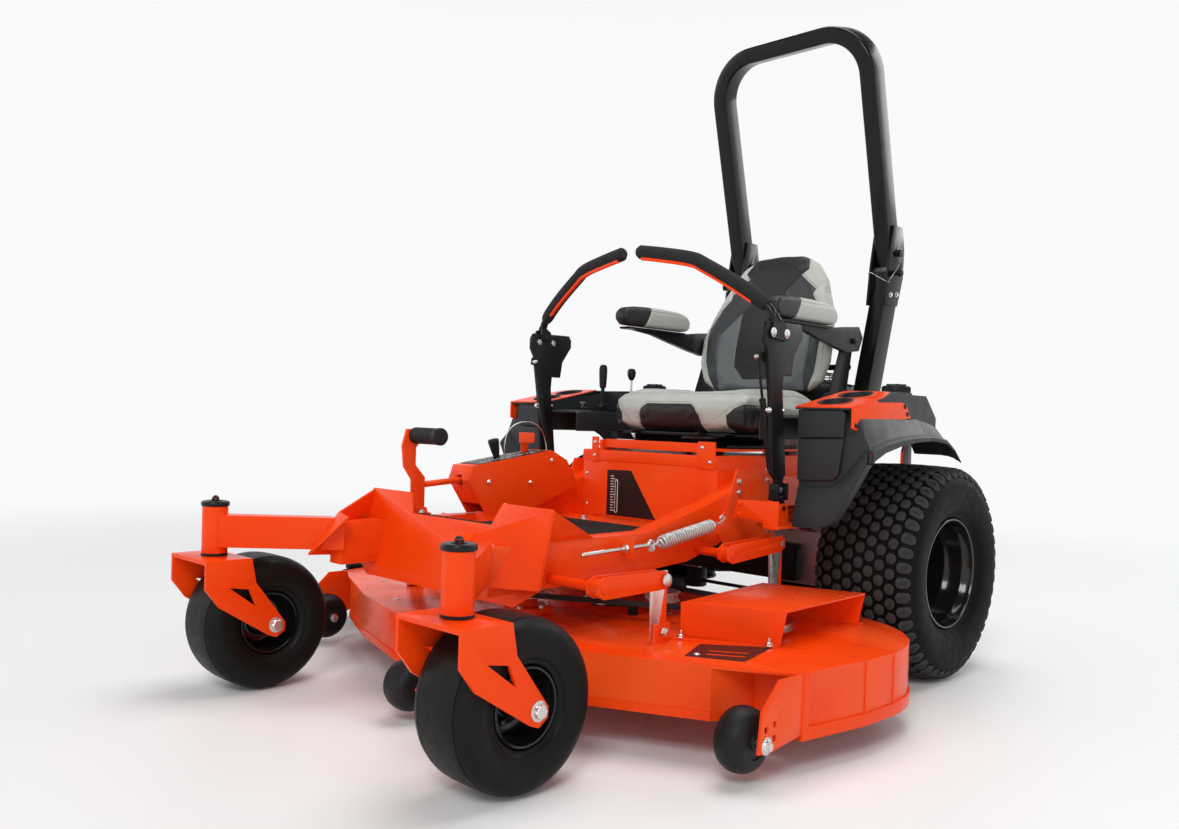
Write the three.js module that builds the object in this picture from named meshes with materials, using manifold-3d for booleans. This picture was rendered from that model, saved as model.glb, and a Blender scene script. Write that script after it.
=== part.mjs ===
// A commercial zero-turn riding mower with a folding roll bar, in millimetres.
// Working frame: X is the machine's left, -Y is forward, Z is up.
// The rear axle lies at Y = 0 and the ground at Z = 0.
// Left-hand pieces are drawn and the right-hand ones are their mirror images.
import * as THREE from "three";
import { mergeVertices } from "three/addons/utils/BufferGeometryUtils.js";
import Module from "manifold-3d";

const wasm = await Module();
wasm.setup();

// ---- Driving dimensions ----
const GAP = 0.3;
const SHEET = 5;
const WHEEL_SIDES = 24;

const DRIVE_TYRE = { radius: 290, halfWidth: 145, x: 526, bead: 152.3 };
const CASTER_TYRE = { radius: 162, halfWidth: 80, bead: 76 };
const CASTER_PIVOT = { x: 460, y: -1559, tubeLow: 328, tubeHigh: 446 };
const CASTER_TRAIL = 116;

const RAIL = { x: 268, width: 50, front: -1345, back: 450, topBack: 535, topFront: 416 };
const RAIL_OUT = RAIL.x + RAIL.width / 2;
const RAIL_IN = RAIL.x - RAIL.width / 2;
const ENGINE_DECK = { low: RAIL.topBack + GAP, thickness: 6, front: -40, back: 453 };
const ENGINE_TOP = ENGINE_DECK.low + ENGINE_DECK.thickness;

const DECK = { top: 200, front: -1250, skirtFront: 90, skirtSide: 65 };
const OUTER_SPINDLE = { x: 500, y: -690 };
const CENTRE_SPINDLE = { x: 0, y: -965 };
const BLADE_RADIUS = 264;
const PULLEY = { radius: 60, low: 238, high: 262 };

const SEAT = { halfWidth: 245, front: -436, rear: -20, low: 651, high: 776 };
const SEAT_BASE = { front: -520, back: -60, low: 400, high: 590 };
const SEAT_HINGE = { y: -498, z: 606 };

const ROPS = { x: 273, postY: 295, pinY: 299, pinZ: 1225, rise: 716.4, bend: 140, lean: 14.6 };
const ROPS_TUBE = { x: 50, y: 76 };

const LEVER = { x: 420, footY: -500, footZ: 470, plateY: -530, plateZ: 907 };
const LIFT = { frontY: -1170, frontZ: 337, rearY: -658, rearZ: 362 };

// ---- Finishes ----
const finish = (color, roughness, metalness) =>
  new THREE.MeshStandardMaterial({ color, roughness, metalness });
const ORANGE = finish(0xe8401a, 0.35, 0.1);
const BLACK = finish(0x121212, 0.3, 0.2);
const PLASTIC = finish(0x3a3e40, 0.6, 0);
const RUBBER = finish(0x1c1c1d, 0.85, 0);
const STEEL = finish(0xb9bcbf, 0.3, 0.9);
const VINYL = finish(0xc9c7bf, 0.6, 0);
const CASTING = finish(0x8c9093, 0.5, 0.7);

// ---- Solids ----
// A closed geometry as a solid that can be joined and cut.
function solid(geometry) {
  const bare = geometry.index ? geometry.toNonIndexed() : geometry.clone();
  bare.deleteAttribute("normal");
  bare.deleteAttribute("uv");
  const merged = mergeVertices(bare, 1e-3);
  return new wasm.Manifold(
    new wasm.Mesh({
      numProp: 3,
      vertProperties: merged.attributes.position.array,
      triVerts: new Uint32Array(merged.index.array),
    }),
  );
}

// A solid back as a geometry.
function geometryOf(body) {
  const mesh = body.getMesh();
  const geometry = new THREE.BufferGeometry();
  geometry.setAttribute("position", new THREE.BufferAttribute(mesh.vertProperties, mesh.numProp));
  geometry.setIndex(new THREE.BufferAttribute(mesh.triVerts, 1));
  const flat = geometry.toNonIndexed();
  flat.computeVertexNormals();
  return flat;
}

const join = (...bodies) => bodies.reduce((all, body) => all.add(body));
const cut = (body, ...tools) => tools.reduce((left, tool) => left.subtract(tool), body);

// A box from its two corners.
function box([x0, y0, z0], [x1, y1, z1]) {
  const geometry = new THREE.BoxGeometry(x1 - x0, y1 - y0, z1 - z0);
  return solid(geometry.translate((x0 + x1) / 2, (y0 + y1) / 2, (z0 + z1) / 2));
}

// A flat outline made thick along one axis. Its points are (y, z), (x, z) or (x, y).
const PRISM_BASIS = {
  x: [new THREE.Vector3(0, 1, 0), new THREE.Vector3(0, 0, 1), new THREE.Vector3(1, 0, 0)],
  y: [new THREE.Vector3(1, 0, 0), new THREE.Vector3(0, 0, 1), new THREE.Vector3(0, -1, 0)],
  z: [new THREE.Vector3(1, 0, 0), new THREE.Vector3(0, 1, 0), new THREE.Vector3(0, 0, 1)],
};
function prism(axis, outline, from, to) {
  const shape =
    outline instanceof THREE.Shape
      ? outline
      : new THREE.Shape(outline.map(([u, v]) => new THREE.Vector2(u, v)));
  const options = { depth: to - from, bevelEnabled: false, curveSegments: 6 };
  const geometry = new THREE.ExtrudeGeometry(shape, options);
  geometry.translate(0, 0, axis === "y" ? -to : from);
  geometry.applyMatrix4(new THREE.Matrix4().makeBasis(...PRISM_BASIS[axis]));
  return solid(geometry);
}

// A plate through three or four corners that lie in a plane, half its thickness to each side.
function facet(corners, thickness) {
  const [a, b, c] = corners.map((p) => new THREE.Vector3(...p));
  const u = b.clone().sub(a).normalize();
  const n = u.clone().cross(c.clone().sub(a)).normalize();
  const v = n.clone().cross(u);
  const flat = corners.map((p) => {
    const d = new THREE.Vector3(...p).sub(a);
    return new THREE.Vector2(d.dot(u), d.dot(v));
  });
  const options = { depth: thickness, bevelEnabled: false };
  const geometry = new THREE.ExtrudeGeometry(new THREE.Shape(flat), options);
  geometry.translate(0, 0, -thickness / 2);
  geometry.applyMatrix4(new THREE.Matrix4().makeBasis(u, v, n).setPosition(a));
  return solid(geometry);
}

// A round bar between two points, tapered if it has two radii.
function rod(from, to, radius, sides = 16, endRadius = radius) {
  const a = new THREE.Vector3(...from);
  const b = new THREE.Vector3(...to);
  const along = b.clone().sub(a);
  const geometry = new THREE.CylinderGeometry(endRadius, radius, along.length(), sides);
  geometry.translate(0, along.length() / 2, 0);
  const up = new THREE.Vector3(0, 1, 0);
  geometry.applyQuaternion(new THREE.Quaternion().setFromUnitVectors(up, along.normalize()));
  return solid(geometry.translate(a.x, a.y, a.z));
}

// A ring or disc turned about the X axis: its profile is (radius, x), going round the section.
function turned(profile, sides) {
  const points = [...profile, profile[0]].map(([r, x]) => new THREE.Vector2(r, x));
  if (THREE.ShapeUtils.area(points) < 0) points.reverse();
  const geometry = new THREE.LatheGeometry(points, sides);
  geometry.rotateZ(-Math.PI / 2);
  geometry.rotateX(Math.PI / sides);
  return solid(geometry);
}

// A rectangular bar swept along a curve: half the section lies each side of it.
function sweep(curve, outline, steps) {
  const shape = new THREE.Shape(outline.map(([u, v]) => new THREE.Vector2(u, v)));
  const options = { steps, extrudePath: curve, bevelEnabled: false };
  return solid(new THREE.ExtrudeGeometry(shape, options));
}

const ring = (radius, sides) =>
  Array.from({ length: sides }, (_, i) => {
    const turn = (2 * Math.PI * i) / sides;
    return [radius * Math.cos(turn), radius * Math.sin(turn)];
  });

// Points on an arc, angles in degrees.
function arc([x, y], radius, from, to, steps) {
  return Array.from({ length: steps + 1 }, (_, i) => {
    const turn = THREE.MathUtils.degToRad(from + ((to - from) * i) / steps);
    return [x + radius * Math.cos(turn), y + radius * Math.sin(turn)];
  });
}

// A closed outline moved inwards by a distance; its points go anticlockwise.
function inset(points, distance) {
  return points.map((here, i) => {
    const [before, after] = [points.at(i - 1), points[(i + 1) % points.length]];
    const into = new THREE.Vector2(here[0] - before[0], here[1] - before[1]).normalize();
    const out = new THREE.Vector2(after[0] - here[0], after[1] - here[1]).normalize();
    const normal = new THREE.Vector2(-into.y - out.y, into.x + out.x).normalize();
    const stretch = distance / (normal.x * -out.y + normal.y * out.x);
    return [here[0] + normal.x * stretch, here[1] + normal.y * stretch];
  });
}

const mirrored = (points) => points.map(([x, y]) => [-x, y]).reverse();

// ---- Scene graph ----
const part = new THREE.Group();
const mower = new THREE.Group();
const rightSide = new THREE.Group();
rightSide.scale.x = -1;
part.add(mower);
mower.add(rightSide);

function add(name, body, material, place = [0, 0, 0], parent = mower) {
  const mesh = new THREE.Mesh(geometryOf(body), material);
  mesh.name = name;
  mesh.position.set(...place);
  parent.add(mesh);
}

// A left piece and its mirror image on the right.
function addPair(name, body, material, place) {
  add(name + "_left", body, material, place);
  add(name + "_right", body, material, place, rightSide);
}

// ---- Frame ----
const RAIL_SIDE = [
  [RAIL.front, 314],
  [-957, 320],
  [-700, 336],
  [-580, 368],
  [-400, 455],
  [RAIL.back, 455],
  [RAIL.back, RAIL.topBack],
  [-440, RAIL.topBack],
  [-600, 478],
  [-850, RAIL.topFront],
  [RAIL.front, RAIL.topFront],
];
const railBar = (grow) => prism("x", inset(RAIL_SIDE, -grow), RAIL_IN - grow, RAIL_OUT + grow);

function frameRail() {
  const rail = railBar(0);
  const springTab = box([RAIL_OUT - 1, -966, 372], [RAIL_OUT + 52, -960, 412]);
  const rodHole = rod([325, -980, 390.7], [325, -940, 391.3], 6);
  const shaftHole = (y, z) => rod([200, y, z], [350, y, z], 11.5, 16);
  const holes = [shaftHole(LIFT.frontY, LIFT.frontZ), shaftHole(LIFT.rearY, LIFT.rearZ)];
  return cut(join(rail, springTab), rodHole, ...holes);
}

// The arm's plan runs from the caster's pivot inwards and back to the rail's front face.
function armBar(grow) {
  const from = new THREE.Vector2(CASTER_PIVOT.x, CASTER_PIVOT.y);
  const to = new THREE.Vector2(RAIL.x - 8, RAIL.front + 8);
  const along = to.clone().sub(from).normalize();
  const across = new THREE.Vector2(-along.y, along.x).multiplyScalar(25 + grow);
  to.addScaledVector(along, 40);
  const plan = [
    [from.x + across.x, from.y + across.y],
    [from.x - across.x, from.y - across.y],
    [to.x - across.x, to.y - across.y],
    [to.x + across.x, to.y + across.y],
  ];
  return prism("z", plan, 350 - grow, 426 + grow);
}

function casterArm() {
  const { x, y, tubeLow, tubeHigh } = CASTER_PIVOT;
  const tube = rod([x, y, tubeLow], [x, y, tubeHigh], 30, 28);
  const bore = rod([x, y, tubeLow - 10], [x, y, tubeHigh + 10], 17.6, 20);
  const behind = box([0, RAIL.front - GAP, 300], [460, RAIL.front + 120, 500]);
  return cut(join(armBar(0), tube), behind, bore);
}

// Front plate with its notch, the floor behind it, side cheeks and the wings over the arms.
function footPlatform() {
  const floor = box([-RAIL_IN + GAP, -1221, 396], [RAIL_IN - GAP, SEAT_BASE.front - GAP, 400]);
  const half = [
    [270, 0],
    [335, 45],
    [328, 215],
    [168, 215],
    [145, 165],
  ];
  const left = half.map(([x, z]) => [-x, z]).reverse();
  const slope = new THREE.Matrix4().makeRotationX(-0.2585).setPosition(0, -1250, 280);
  const shape = new THREE.Shape([...half, ...left].map(([u, v]) => new THREE.Vector2(u, v)));
  const plate = new THREE.ExtrudeGeometry(shape, { depth: SHEET, bevelEnabled: false });
  plate.rotateX(Math.PI / 2);
  plate.applyMatrix4(slope);
  const sides = [1, -1].flatMap((s) => {
    const corner = [s * 324, -1197, 486];
    const low = [s * 333, -1239, 322];
    const behindArm = [s * 253, -1347, 440];
    const overArm = [s * 190, -1362, 434];
    const tip = [s * 264, -1422, 342];
    const cheek = [
      [s * 326, -1197, 486],
      [s * 294, -1040, 417],
      [s * 294, -1212, 417],
    ];
    return [
      facet([corner, behindArm, low], SHEET),
      facet([behindArm, tip, low], SHEET),
      facet([behindArm, overArm, tip], SHEET),
      facet(cheek, SHEET),
    ];
  });
  const clear = [1, -1].flatMap((s) => {
    const bar = armBar(GAP * 2);
    const rail = railBar(GAP);
    return [s > 0 ? bar : bar.mirror([1, 0, 0]), s > 0 ? rail : rail.mirror([1, 0, 0])];
  });
  return cut(join(solid(plate), floor, ...sides, heightConsole(), ...pedalStand()), ...clear);
}

function seatBase() {
  const { front, back, low, high } = SEAT_BASE;
  const wide = RAIL_IN - GAP;
  const shell = box([-wide, front, low], [wide, back, high]);
  const roomWide = wide - SHEET;
  const room = box([-roomWide, front + SHEET, low + SHEET], [roomWide, back + 10, high - SHEET]);
  const slot = box([-113, front - 5, 412], [-105, front + 10, 508]);
  const bumpers = [180, -180].map((x) => rod([x, -100, high - 2], [x, -100, 602 - GAP], 12, 12));
  const ears = [seatHinge(), seatHinge().mirror([1, 0, 0])];
  return join(cut(shell, room, slot), ...ears, ...bumpers);
}

// Bracket outside the rail that carries the steering lever and the rear lift shaft's end.
function leverBase() {
  const side = [
    [-540, 480],
    [-585, 400],
    [-520, 330],
    [-330, 366],
    [-330, 560],
    [-506, 560],
  ];
  return prism("x", side, RAIL_OUT - 1, RAIL_OUT + SHEET);
}

function engineDeck() {
  const { low, thickness, front, back } = ENGINE_DECK;
  return box([-RAIL_OUT, front, low], [RAIL_OUT, back, low + thickness]);
}

function engineBlock() {
  const y = 300;
  const case1 = rod([0, y, ENGINE_TOP + GAP], [0, y, ENGINE_TOP + 150], 120, 24);
  const cylinders = [1, -1].map((s) => {
    const outward = [s * 185, y + 95, ENGINE_TOP + 80];
    return rod([s * 40, y + 20, ENGINE_TOP + 80], outward, 58, 16);
  });
  return join(case1, ...cylinders);
}

function engineShroud() {
  const low = ENGINE_TOP + 150 + GAP;
  const bowl = rod([0, 300, low], [0, 300, low + 120], 175, 28, 165);
  const screen = rod([0, 300, low + 110], [0, 300, low + 160], 110, 24, 95);
  const cleaner = rod([-150, 395, low + 66], [150, 395, low + 66], 62, 16);
  return join(bowl, screen, cleaner);
}

function rearGuard() {
  const back = 512;
  const plateSide = [
    [RAIL.back + GAP, 455],
    [back, 470],
    [back, 700],
    [RAIL.back + GAP, 600],
  ];
  const leg = (s) => prism("x", plateSide, s * 268 - 4, s * 268 + 4);
  const bar = (z) => box([-272, back - 6, z], [272, back, z + 46]);
  return join(leg(1), leg(-1), bar(470), bar(654));
}

function hydro() {
  const body = box([130, -95, 215], [330, 105, 370]);
  const pump = rod([215, 40, 369], [215, 40, 420], 62, 20);
  const housing = rod([329, 0, DRIVE_TYRE.radius], [476, 0, DRIVE_TYRE.radius], 42, 20);
  const hanger = box([252, -60, 369], [284, 60, 455 - GAP]);
  const bore = rod([345, 0, DRIVE_TYRE.radius], [480, 0, DRIVE_TYRE.radius], 20.8, 16);
  return cut(join(body, pump, housing, hanger), bore);
}

// ---- Drive wheels, about the wheel's centre with the outer face towards +X ----
function driveTyre() {
  const { halfWidth: w, radius, bead } = DRIVE_TYRE;
  const flat = radius / Math.cos(Math.PI / WHEEL_SIDES);
  const half = [
    [bead, w - 26.4],
    [bead + 15, w - 26.4],
    [bead + 45, w],
    [flat - 30, w - 2],
    [flat - 6, w - 20],
    [flat, w - 50],
  ];
  const other = half.map(([r, x]) => [r, -x]).reverse();
  return turned([...half, ...other], WHEEL_SIDES);
}

function driveRim() {
  const { halfWidth: w, bead } = DRIVE_TYRE;
  const rimOut = bead - GAP;
  const well = rimOut - 6;
  const lip = w - 27;
  const profile = [
    [36, -23],
    [well, -23],
    [well, -lip],
    [rimOut, -lip],
    [rimOut, lip],
    [well, lip],
    [well, -17],
    [36, -17],
  ];
  const shaft = rod([-180, 0, 0], [-20, 0, 0], 20, 16);
  const flange = rod([-34, 0, 0], [-20, 0, 0], 74, 20);
  const pilot = rod([-24, 0, 0], [-4, 0, 0], 38, 16);
  const nuts = ring(57, 5).map(([y, z]) => rod([-20, y, z], [-3, y, z], 11, 6));
  return join(turned(profile, WHEEL_SIDES), shaft, flange, pilot, ...nuts);
}

// ---- Casters, about the wheel's centre ----
function casterTyre() {
  const { halfWidth: w, radius, bead } = CASTER_TYRE;
  const flat = radius / Math.cos(Math.PI / WHEEL_SIDES);
  const half = [
    [bead, 59.6],
    [bead + 10, 59.6],
    [bead + 30, w],
    [flat - 18, w - 4],
    [flat, w - 30],
  ];
  const other = half.map(([r, x]) => [r, -x]).reverse();
  return turned([...half, ...other], WHEEL_SIDES);
}

function casterRim() {
  const out = CASTER_TYRE.bead - GAP;
  const profile = [
    [9.8, -82],
    [25, -82],
    [25, -4],
    [out - 6, -4],
    [out - 6, -59],
    [out, -59],
    [out, 59],
    [out - 6, 59],
    [out - 6, 4],
    [25, 4],
    [25, 82],
    [9.8, 82],
  ];
  return turned(profile, WHEEL_SIDES);
}

// Stem, crown plate, two slanted legs and the axle bolt, about the swivel axis at ground level.
function casterFork() {
  const crownTop = CASTER_PIVOT.tubeLow - GAP;
  const legTop = crownTop;
  const axle = [CASTER_TRAIL, CASTER_TYRE.radius - 4];
  const leg = new THREE.Shape(
    [
      [-64, legTop],
      [-64, 262],
      [-30, 218],
      [axle[0] - 18, axle[1] - 20],
      [axle[0] + 2, axle[1] - 27],
      [axle[0] + 24, axle[1] - 12],
      [axle[0] + 25, axle[1] + 8],
      [62, 268],
      [50, legTop],
    ].map(([u, v]) => new THREE.Vector2(u, v)),
  );
  const window = [
    [-6, 262],
    [44, 254],
    [62, 212],
  ].map(([u, v]) => new THREE.Vector2(u, v));
  leg.holes.push(new THREE.Path(window));
  const legs = [84, -92].map((x) => prism("x", leg, x, x + 8));
  const crown = box([-90, -64, crownTop - 9], [90, 50, crownTop]);
  const stem = rod([0, 0, crownTop - 4], [0, 0, CASTER_PIVOT.tubeHigh + 6], 17, 20);
  const across = (from, to, radius, sides) =>
    rod([from, CASTER_TRAIL, CASTER_TYRE.radius], [to, CASTER_TRAIL, CASTER_TYRE.radius], radius, sides);
  const bolt = across(-98, 98, 9.3, 14);
  const heads = [91, -102].map((x) => across(x, x + 11, 14, 6));
  const top = CASTER_PIVOT.tubeHigh;
  const cap = rod([0, 0, top + GAP], [0, 0, top + 12], 31, 24);
  const nut = rod([0, 0, top + 11], [0, 0, top + 20], 10, 6);
  return join(crown, ...legs, stem, bolt, ...heads, cap, nut);
}

// ---- Roll bar ----
function ropsPost() {
  const { x, postY, pinY, pinZ } = ROPS;
  const inner = x - ROPS_TUBE.x / 2;
  const outer = x + ROPS_TUBE.x / 2;
  const half = ROPS_TUBE.y / 2;
  const side = [
    [124 - half, ENGINE_TOP + GAP],
    [124 + half, ENGINE_TOP + GAP],
    [postY + half, 1120],
    [postY + half, 1166],
    [postY - half, 1166],
    [postY - half, 1120],
  ];
  const cheek = [
    [232, 1060],
    [310, 1060],
    [342, 1150],
    [345, 1240],
    [330, 1310],
    [272, 1310],
    [246, 1180],
  ];
  const foot = box([inner - 24, 60, ENGINE_TOP + GAP], [outer + 20, 190, ENGINE_TOP + 10]);
  const cheeks = [inner - 7.5, outer + 0.5].map((at) => prism("x", cheek, at, at + 7));
  const filler = box([inner - 2, postY - 32, 1080], [outer + 2, postY + 30, 1160]);
  const pin = rod([inner - 10, pinY, pinZ], [outer + 10, pinY, pinZ], 8, 12);
  return join(prism("x", side, inner, outer), foot, ...cheeks, filler, pin);
}

// The hoop is drawn upright about its pivot pin, then leant forward.
function ropsHoop() {
  const { x, bend, rise } = ROPS;
  const half = ROPS_TUBE.x / 2;
  const low = -36;
  const corner = [x + half - bend - half, rise - bend - half];
  const outer = [
    [x + half, low],
    ...arc(corner, bend + half, 0, 90, 7),
    ...arc([-corner[0], corner[1]], bend + half, 90, 180, 7),
    [-x - half, low],
  ];
  const inner = [
    [-x + half, low],
    ...arc([-corner[0], corner[1]], bend - half, 180, 90, 7),
    ...arc(corner, bend - half, 90, 0, 7),
    [x - half, low],
  ];
  const hoop = prism("y", [...outer, ...inner], -ROPS_TUBE.y / 2, ROPS_TUBE.y / 2);
  const bore = (s) => rod([s * (x - 40), 0, 0], [s * (x + 40), 0, 0], 8.5, 12);
  return cut(hoop, bore(1), bore(-1));
}

// ---- Fenders, consoles and tanks ----
// A bent sheet seen edge-on: a line of points and the same line moved to its left.
function strip(points, thickness) {
  const moved = points.map(([u, v], i) => {
    const a = points[Math.max(i - 1, 0)];
    const b = points[Math.min(i + 1, points.length - 1)];
    const along = new THREE.Vector2(b[0] - a[0], b[1] - a[1]).normalize();
    return [u - along.y * thickness, v + along.x * thickness];
  });
  return [...points, ...moved.reverse()];
}

const CONSOLE = { in: 455, out: 606, front: -462, back: -190, low: 640 };
const TRAY = { front: -486, frontZ: 724, back: -254, slope: 0.2, cupX: 520, cupRadius: 40 };
const trayZ = (y) => TRAY.frontZ + TRAY.slope * (Math.min(y, TRAY.back) - TRAY.front);
const TANK = { in: 352, out: 520, front: -194, back: 150, low: 640, high: 772 };
const FENDER = { in: 330, out: 655, front: -465, rear: 25 };

function fender() {
  const top = [
    [FENDER.rear, 608],
    [-60, 690],
    [-158, 706],
    [-445, 706],
    [FENDER.front, 690],
    [FENDER.front, 440],
  ];
  const flank = [
    [FENDER.rear, 608],
    [-60, 690],
    [-158, 706],
    [-445, 706],
    [FENDER.front, 690],
    [FENDER.front, 600],
    [-401, 606],
  ];
  const outerShell = prism("x", strip(top, 4), 450, FENDER.out);
  const innerShell = prism("x", strip(top.slice(0, 4), 4), FENDER.in, 451);
  const innerWall = prism("x", [...flank.slice(0, 4), [-430, 600]], FENDER.in, FENDER.in + 4);
  const skirt = prism("x", flank, FENDER.out - 4, FENDER.out);
  const taper = [
    [572, 430],
    [700, 430],
    [700, 640],
    [652, 610],
  ];
  const opening = ({ in: x0, out: x1, front, back, low }) =>
    box([x0 - GAP, front - GAP, low - 40], [x1 + GAP, back + GAP, 760]);
  const whole = join(outerShell, innerShell, innerWall, skirt);
  return cut(whole, prism("y", taper, -480, -440), opening(CONSOLE), opening(TANK));
}

function consoleBox() {
  const { in: x0, out: x1, front, back, low } = CONSOLE;
  const { front: lipFront, back: level, cupX, cupRadius } = TRAY;
  const body = [
    [front + 2, low],
    [back, low],
    [back, trayZ(back) + 1],
    [level, trayZ(level) + 1],
    [front + 2, trayZ(front + 2) + 1],
  ];
  const top = [lipFront, level, back].map((y) => [y, trayZ(y)]);
  const block = prism("x", body, x0, x1);
  const lip = prism("x", strip(top.reverse(), 4), x0 - 3, x1);
  const cup = (y) => rod([cupX, y, low + 14], [cupX, y, trayZ(back) + 20], cupRadius, 20);
  return cut(join(block, lip), cup(-412), cup(-312));
}

function fuelTank() {
  const { in: x0, out: x1, front, back, low, high } = TANK;
  const side = [
    [front, low],
    [back - 40, low],
    [back, low + 30],
    [back, high - 62],
    [back - 66, high],
    [front + 12, high],
    [front, high - 12],
  ];
  const cap = rod([450, 40, high - 5], [450, 40, high + 26], 40, 20, 37);
  return join(prism("x", side, x0, x1), cap);
}

// ---- Seat ----
function seatPan() {
  const plate = box([-228, -474, 602], [228, -76, 608]);
  const channel = box([-170, -510, SEAT_HINGE.z - 8], [170, -472, SEAT_HINGE.z + 16]);
  const pin = rod([-184, SEAT_HINGE.y, SEAT_HINGE.z], [184, SEAT_HINGE.y, SEAT_HINGE.z], 5, 10);
  return join(plate, channel, pin);
}

function seatHinge() {
  const side = [
    [SEAT_BASE.front, SEAT_BASE.high - 2],
    [-482, SEAT_BASE.high - 2],
    [-482, SEAT_HINGE.z + 14],
    [SEAT_BASE.front, SEAT_HINGE.z + 14],
  ];
  const ear = prism("x", side, 174, 180);
  const hole = rod([160, SEAT_HINGE.y, SEAT_HINGE.z], [190, SEAT_HINGE.y, SEAT_HINGE.z], 5.5, 10);
  return cut(ear, hole);
}

function seatSuspension() {
  const side = [
    [-400, 608 + GAP],
    [-80, 608 + GAP],
    [-60, SEAT.low - GAP],
    [-415, SEAT.low - GAP],
  ];
  return prism("x", side, -205, 205);
}

function seatCushion() {
  const { halfWidth: w, front, rear, low, high } = SEAT;
  const side = [
    [front + 10, low],
    [rear - 10, low],
    [rear, low + 14],
    [rear, high - 26],
    [rear - 30, high - 4],
    [-200, high],
    [front + 66, high - 4],
    [front + 16, high - 18],
    [front, high - 48],
    [front, low + 12],
  ];
  const plan = [
    [-w + 45, front],
    [w - 45, front],
    [w - 8, front + 60],
    [w, front + 140],
    [w - 8, rear],
    [-w + 8, rear],
    [-w, front + 140],
    [-w + 8, front + 60],
  ];
  return prism("x", side, -w, w).intersect(prism("z", plan, low - 1, high + 1));
}

function seatBack() {
  const side = [
    [-14, 772],
    [62, 772],
    [104, 900],
    [150, 1060],
    [172, 1200],
    [160, 1226],
    [130, 1228],
    [98, 1190],
    [40, 1030],
    [-4, 900],
    [-22, 800],
  ];
  const half = [
    [196, 772],
    [230, 812],
    [243, 880],
    [240, 960],
    [222, 1040],
    [184, 1140],
    [136, 1200],
    [84, 1228],
  ];
  return prism("x", side, -245, 245).intersect(prism("y", closed(half), -60, 220));
}

// The bracket that joins the cushion's frame to the back's frame and carries the armrests.
function seatFrame() {
  const side = [
    [-70, SEAT.low - 20],
    [60, 690],
    [110, 780],
    [140, 930],
    [118, 960],
    [72, 960],
    [62, 900],
    [6, 764],
    [-14, 740],
    [-14, 700],
  ];
  const cheek = prism("x", side, SEAT.halfWidth + 3, SEAT.halfWidth + 8);
  const tie = (y, z) => rod([-251, y, z], [251, y, z], 9, 12);
  const ties = [tie(20, 724), tie(128, 860)];
  const pin = (s) => rod([s * 250, 96, 936], [s * 284, 96, 936], 7, 12);
  const base = box([-253, -80, SEAT.low - 12], [253, -58, SEAT.low - 1]);
  return join(cheek, cheek.mirror([1, 0, 0]), ...ties, pin(1), pin(-1), base);
}

const ARM_PIVOT = { y: 96, z: 936 };
function armrest() {
  const padSide = [
    [-352, 984],
    [-338, 968],
    [-30, 968],
    [-18, 980],
    [-18, 1018],
    [-40, 1036],
    [-190, 1041],
    [-310, 1036],
    [-346, 1018],
  ];
  const armSide = [
    [-290, 968.2],
    [-280, 960],
    [-200, 952],
    [-20, 914],
    [60, 900],
    [128, 908],
    [150, 950],
    [126, 982],
    [30, 974],
    [-30, 968.2],
  ];
  const pad = prism("x", padSide, 243, 301);
  const support = prism("x", armSide, 262, 280);
  const bore = rod([255, ARM_PIVOT.y, ARM_PIVOT.z], [290, ARM_PIVOT.y, ARM_PIVOT.z], 7.4, 12);
  return cut(join(pad, support), bore);
}

// ---- Steering levers ----
const leverAxis = { y: LEVER.footY, z: LEVER.footZ };

function leverStand() {
  const { x } = LEVER;
  const shelf = [
    [RAIL_OUT - 1, -416],
    [x - 16, -416],
    [x - 16, -540],
    [x + 16, -540],
    [x + 16, -380],
    [RAIL_OUT - 1, -380],
  ];
  const ear = [
    [-528, 422],
    [-472, 422],
    [-484, leverAxis.z + 12],
    [-516, leverAxis.z + 12],
  ];
  const ears = [x - 16, x + 11].map((at) => prism("x", ear, at, at + 5));
  const hole = rod([x - 30, leverAxis.y, leverAxis.z], [x + 30, leverAxis.y, leverAxis.z], 6.5, 12);
  return cut(join(prism("z", shelf, 418, 424), ...ears), hole);
}

// Foot block: rocks fore and aft between the stand's ears and carries the post's swing pin.
function leverFoot() {
  const { x } = LEVER;
  const { y, z } = leverAxis;
  const block = box([x - 10, y - 13, z - 13], [x + 10, y + 13, z + 22]);
  const pin = rod([x - 19, y, z], [x + 19, y, z], 6, 12);
  const base = box([x - 14, y - 24, z + 20], [x + 14, y + 24, z + 26]);
  const cheeks = [-24, 18].map((dy) => box([x - 14, y + dy, z + 24], [x + 14, y + dy + 6, z + 62]));
  const swing = rod([x, y - 28, z + 46], [x, y + 28, z + 46], 5, 10);
  return join(block, pin, base, ...cheeks, swing);
}

function leverPost() {
  const { x, plateY, plateZ } = LEVER;
  const low = leverAxis.z + 32;
  const side = [
    [leverAxis.y - 15, low],
    [leverAxis.y + 15, low],
    [leverAxis.y + 15, low + 40],
    [leverAxis.y + 25, low + 54],
    [plateY + 29, plateZ - 140],
    [plateY + 32, plateZ - 104],
    [plateY + 68, plateZ - 104],
    [plateY + 76, plateZ - 56],
    [plateY + 112, plateZ - 8],
    [plateY + 112, plateZ + 14],
    [plateY + 102, plateZ + 28],
    [plateY - 46, plateZ + 26],
    [plateY - 56, plateZ + 10],
    [plateY - 56, plateZ - 20],
    [plateY - 42, plateZ - 44],
    [plateY - 22, plateZ - 160],
    [leverAxis.y - 36, low + 54],
    [leverAxis.y - 15, low + 40],
  ];
  const swingZ = leverAxis.z + 46;
  const swing = rod([x, leverAxis.y - 30, swingZ], [x, leverAxis.y + 30, swingZ], 5.5, 10);
  return cut(prism("x", side, x - 9, x + 3), swing);
}

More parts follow.
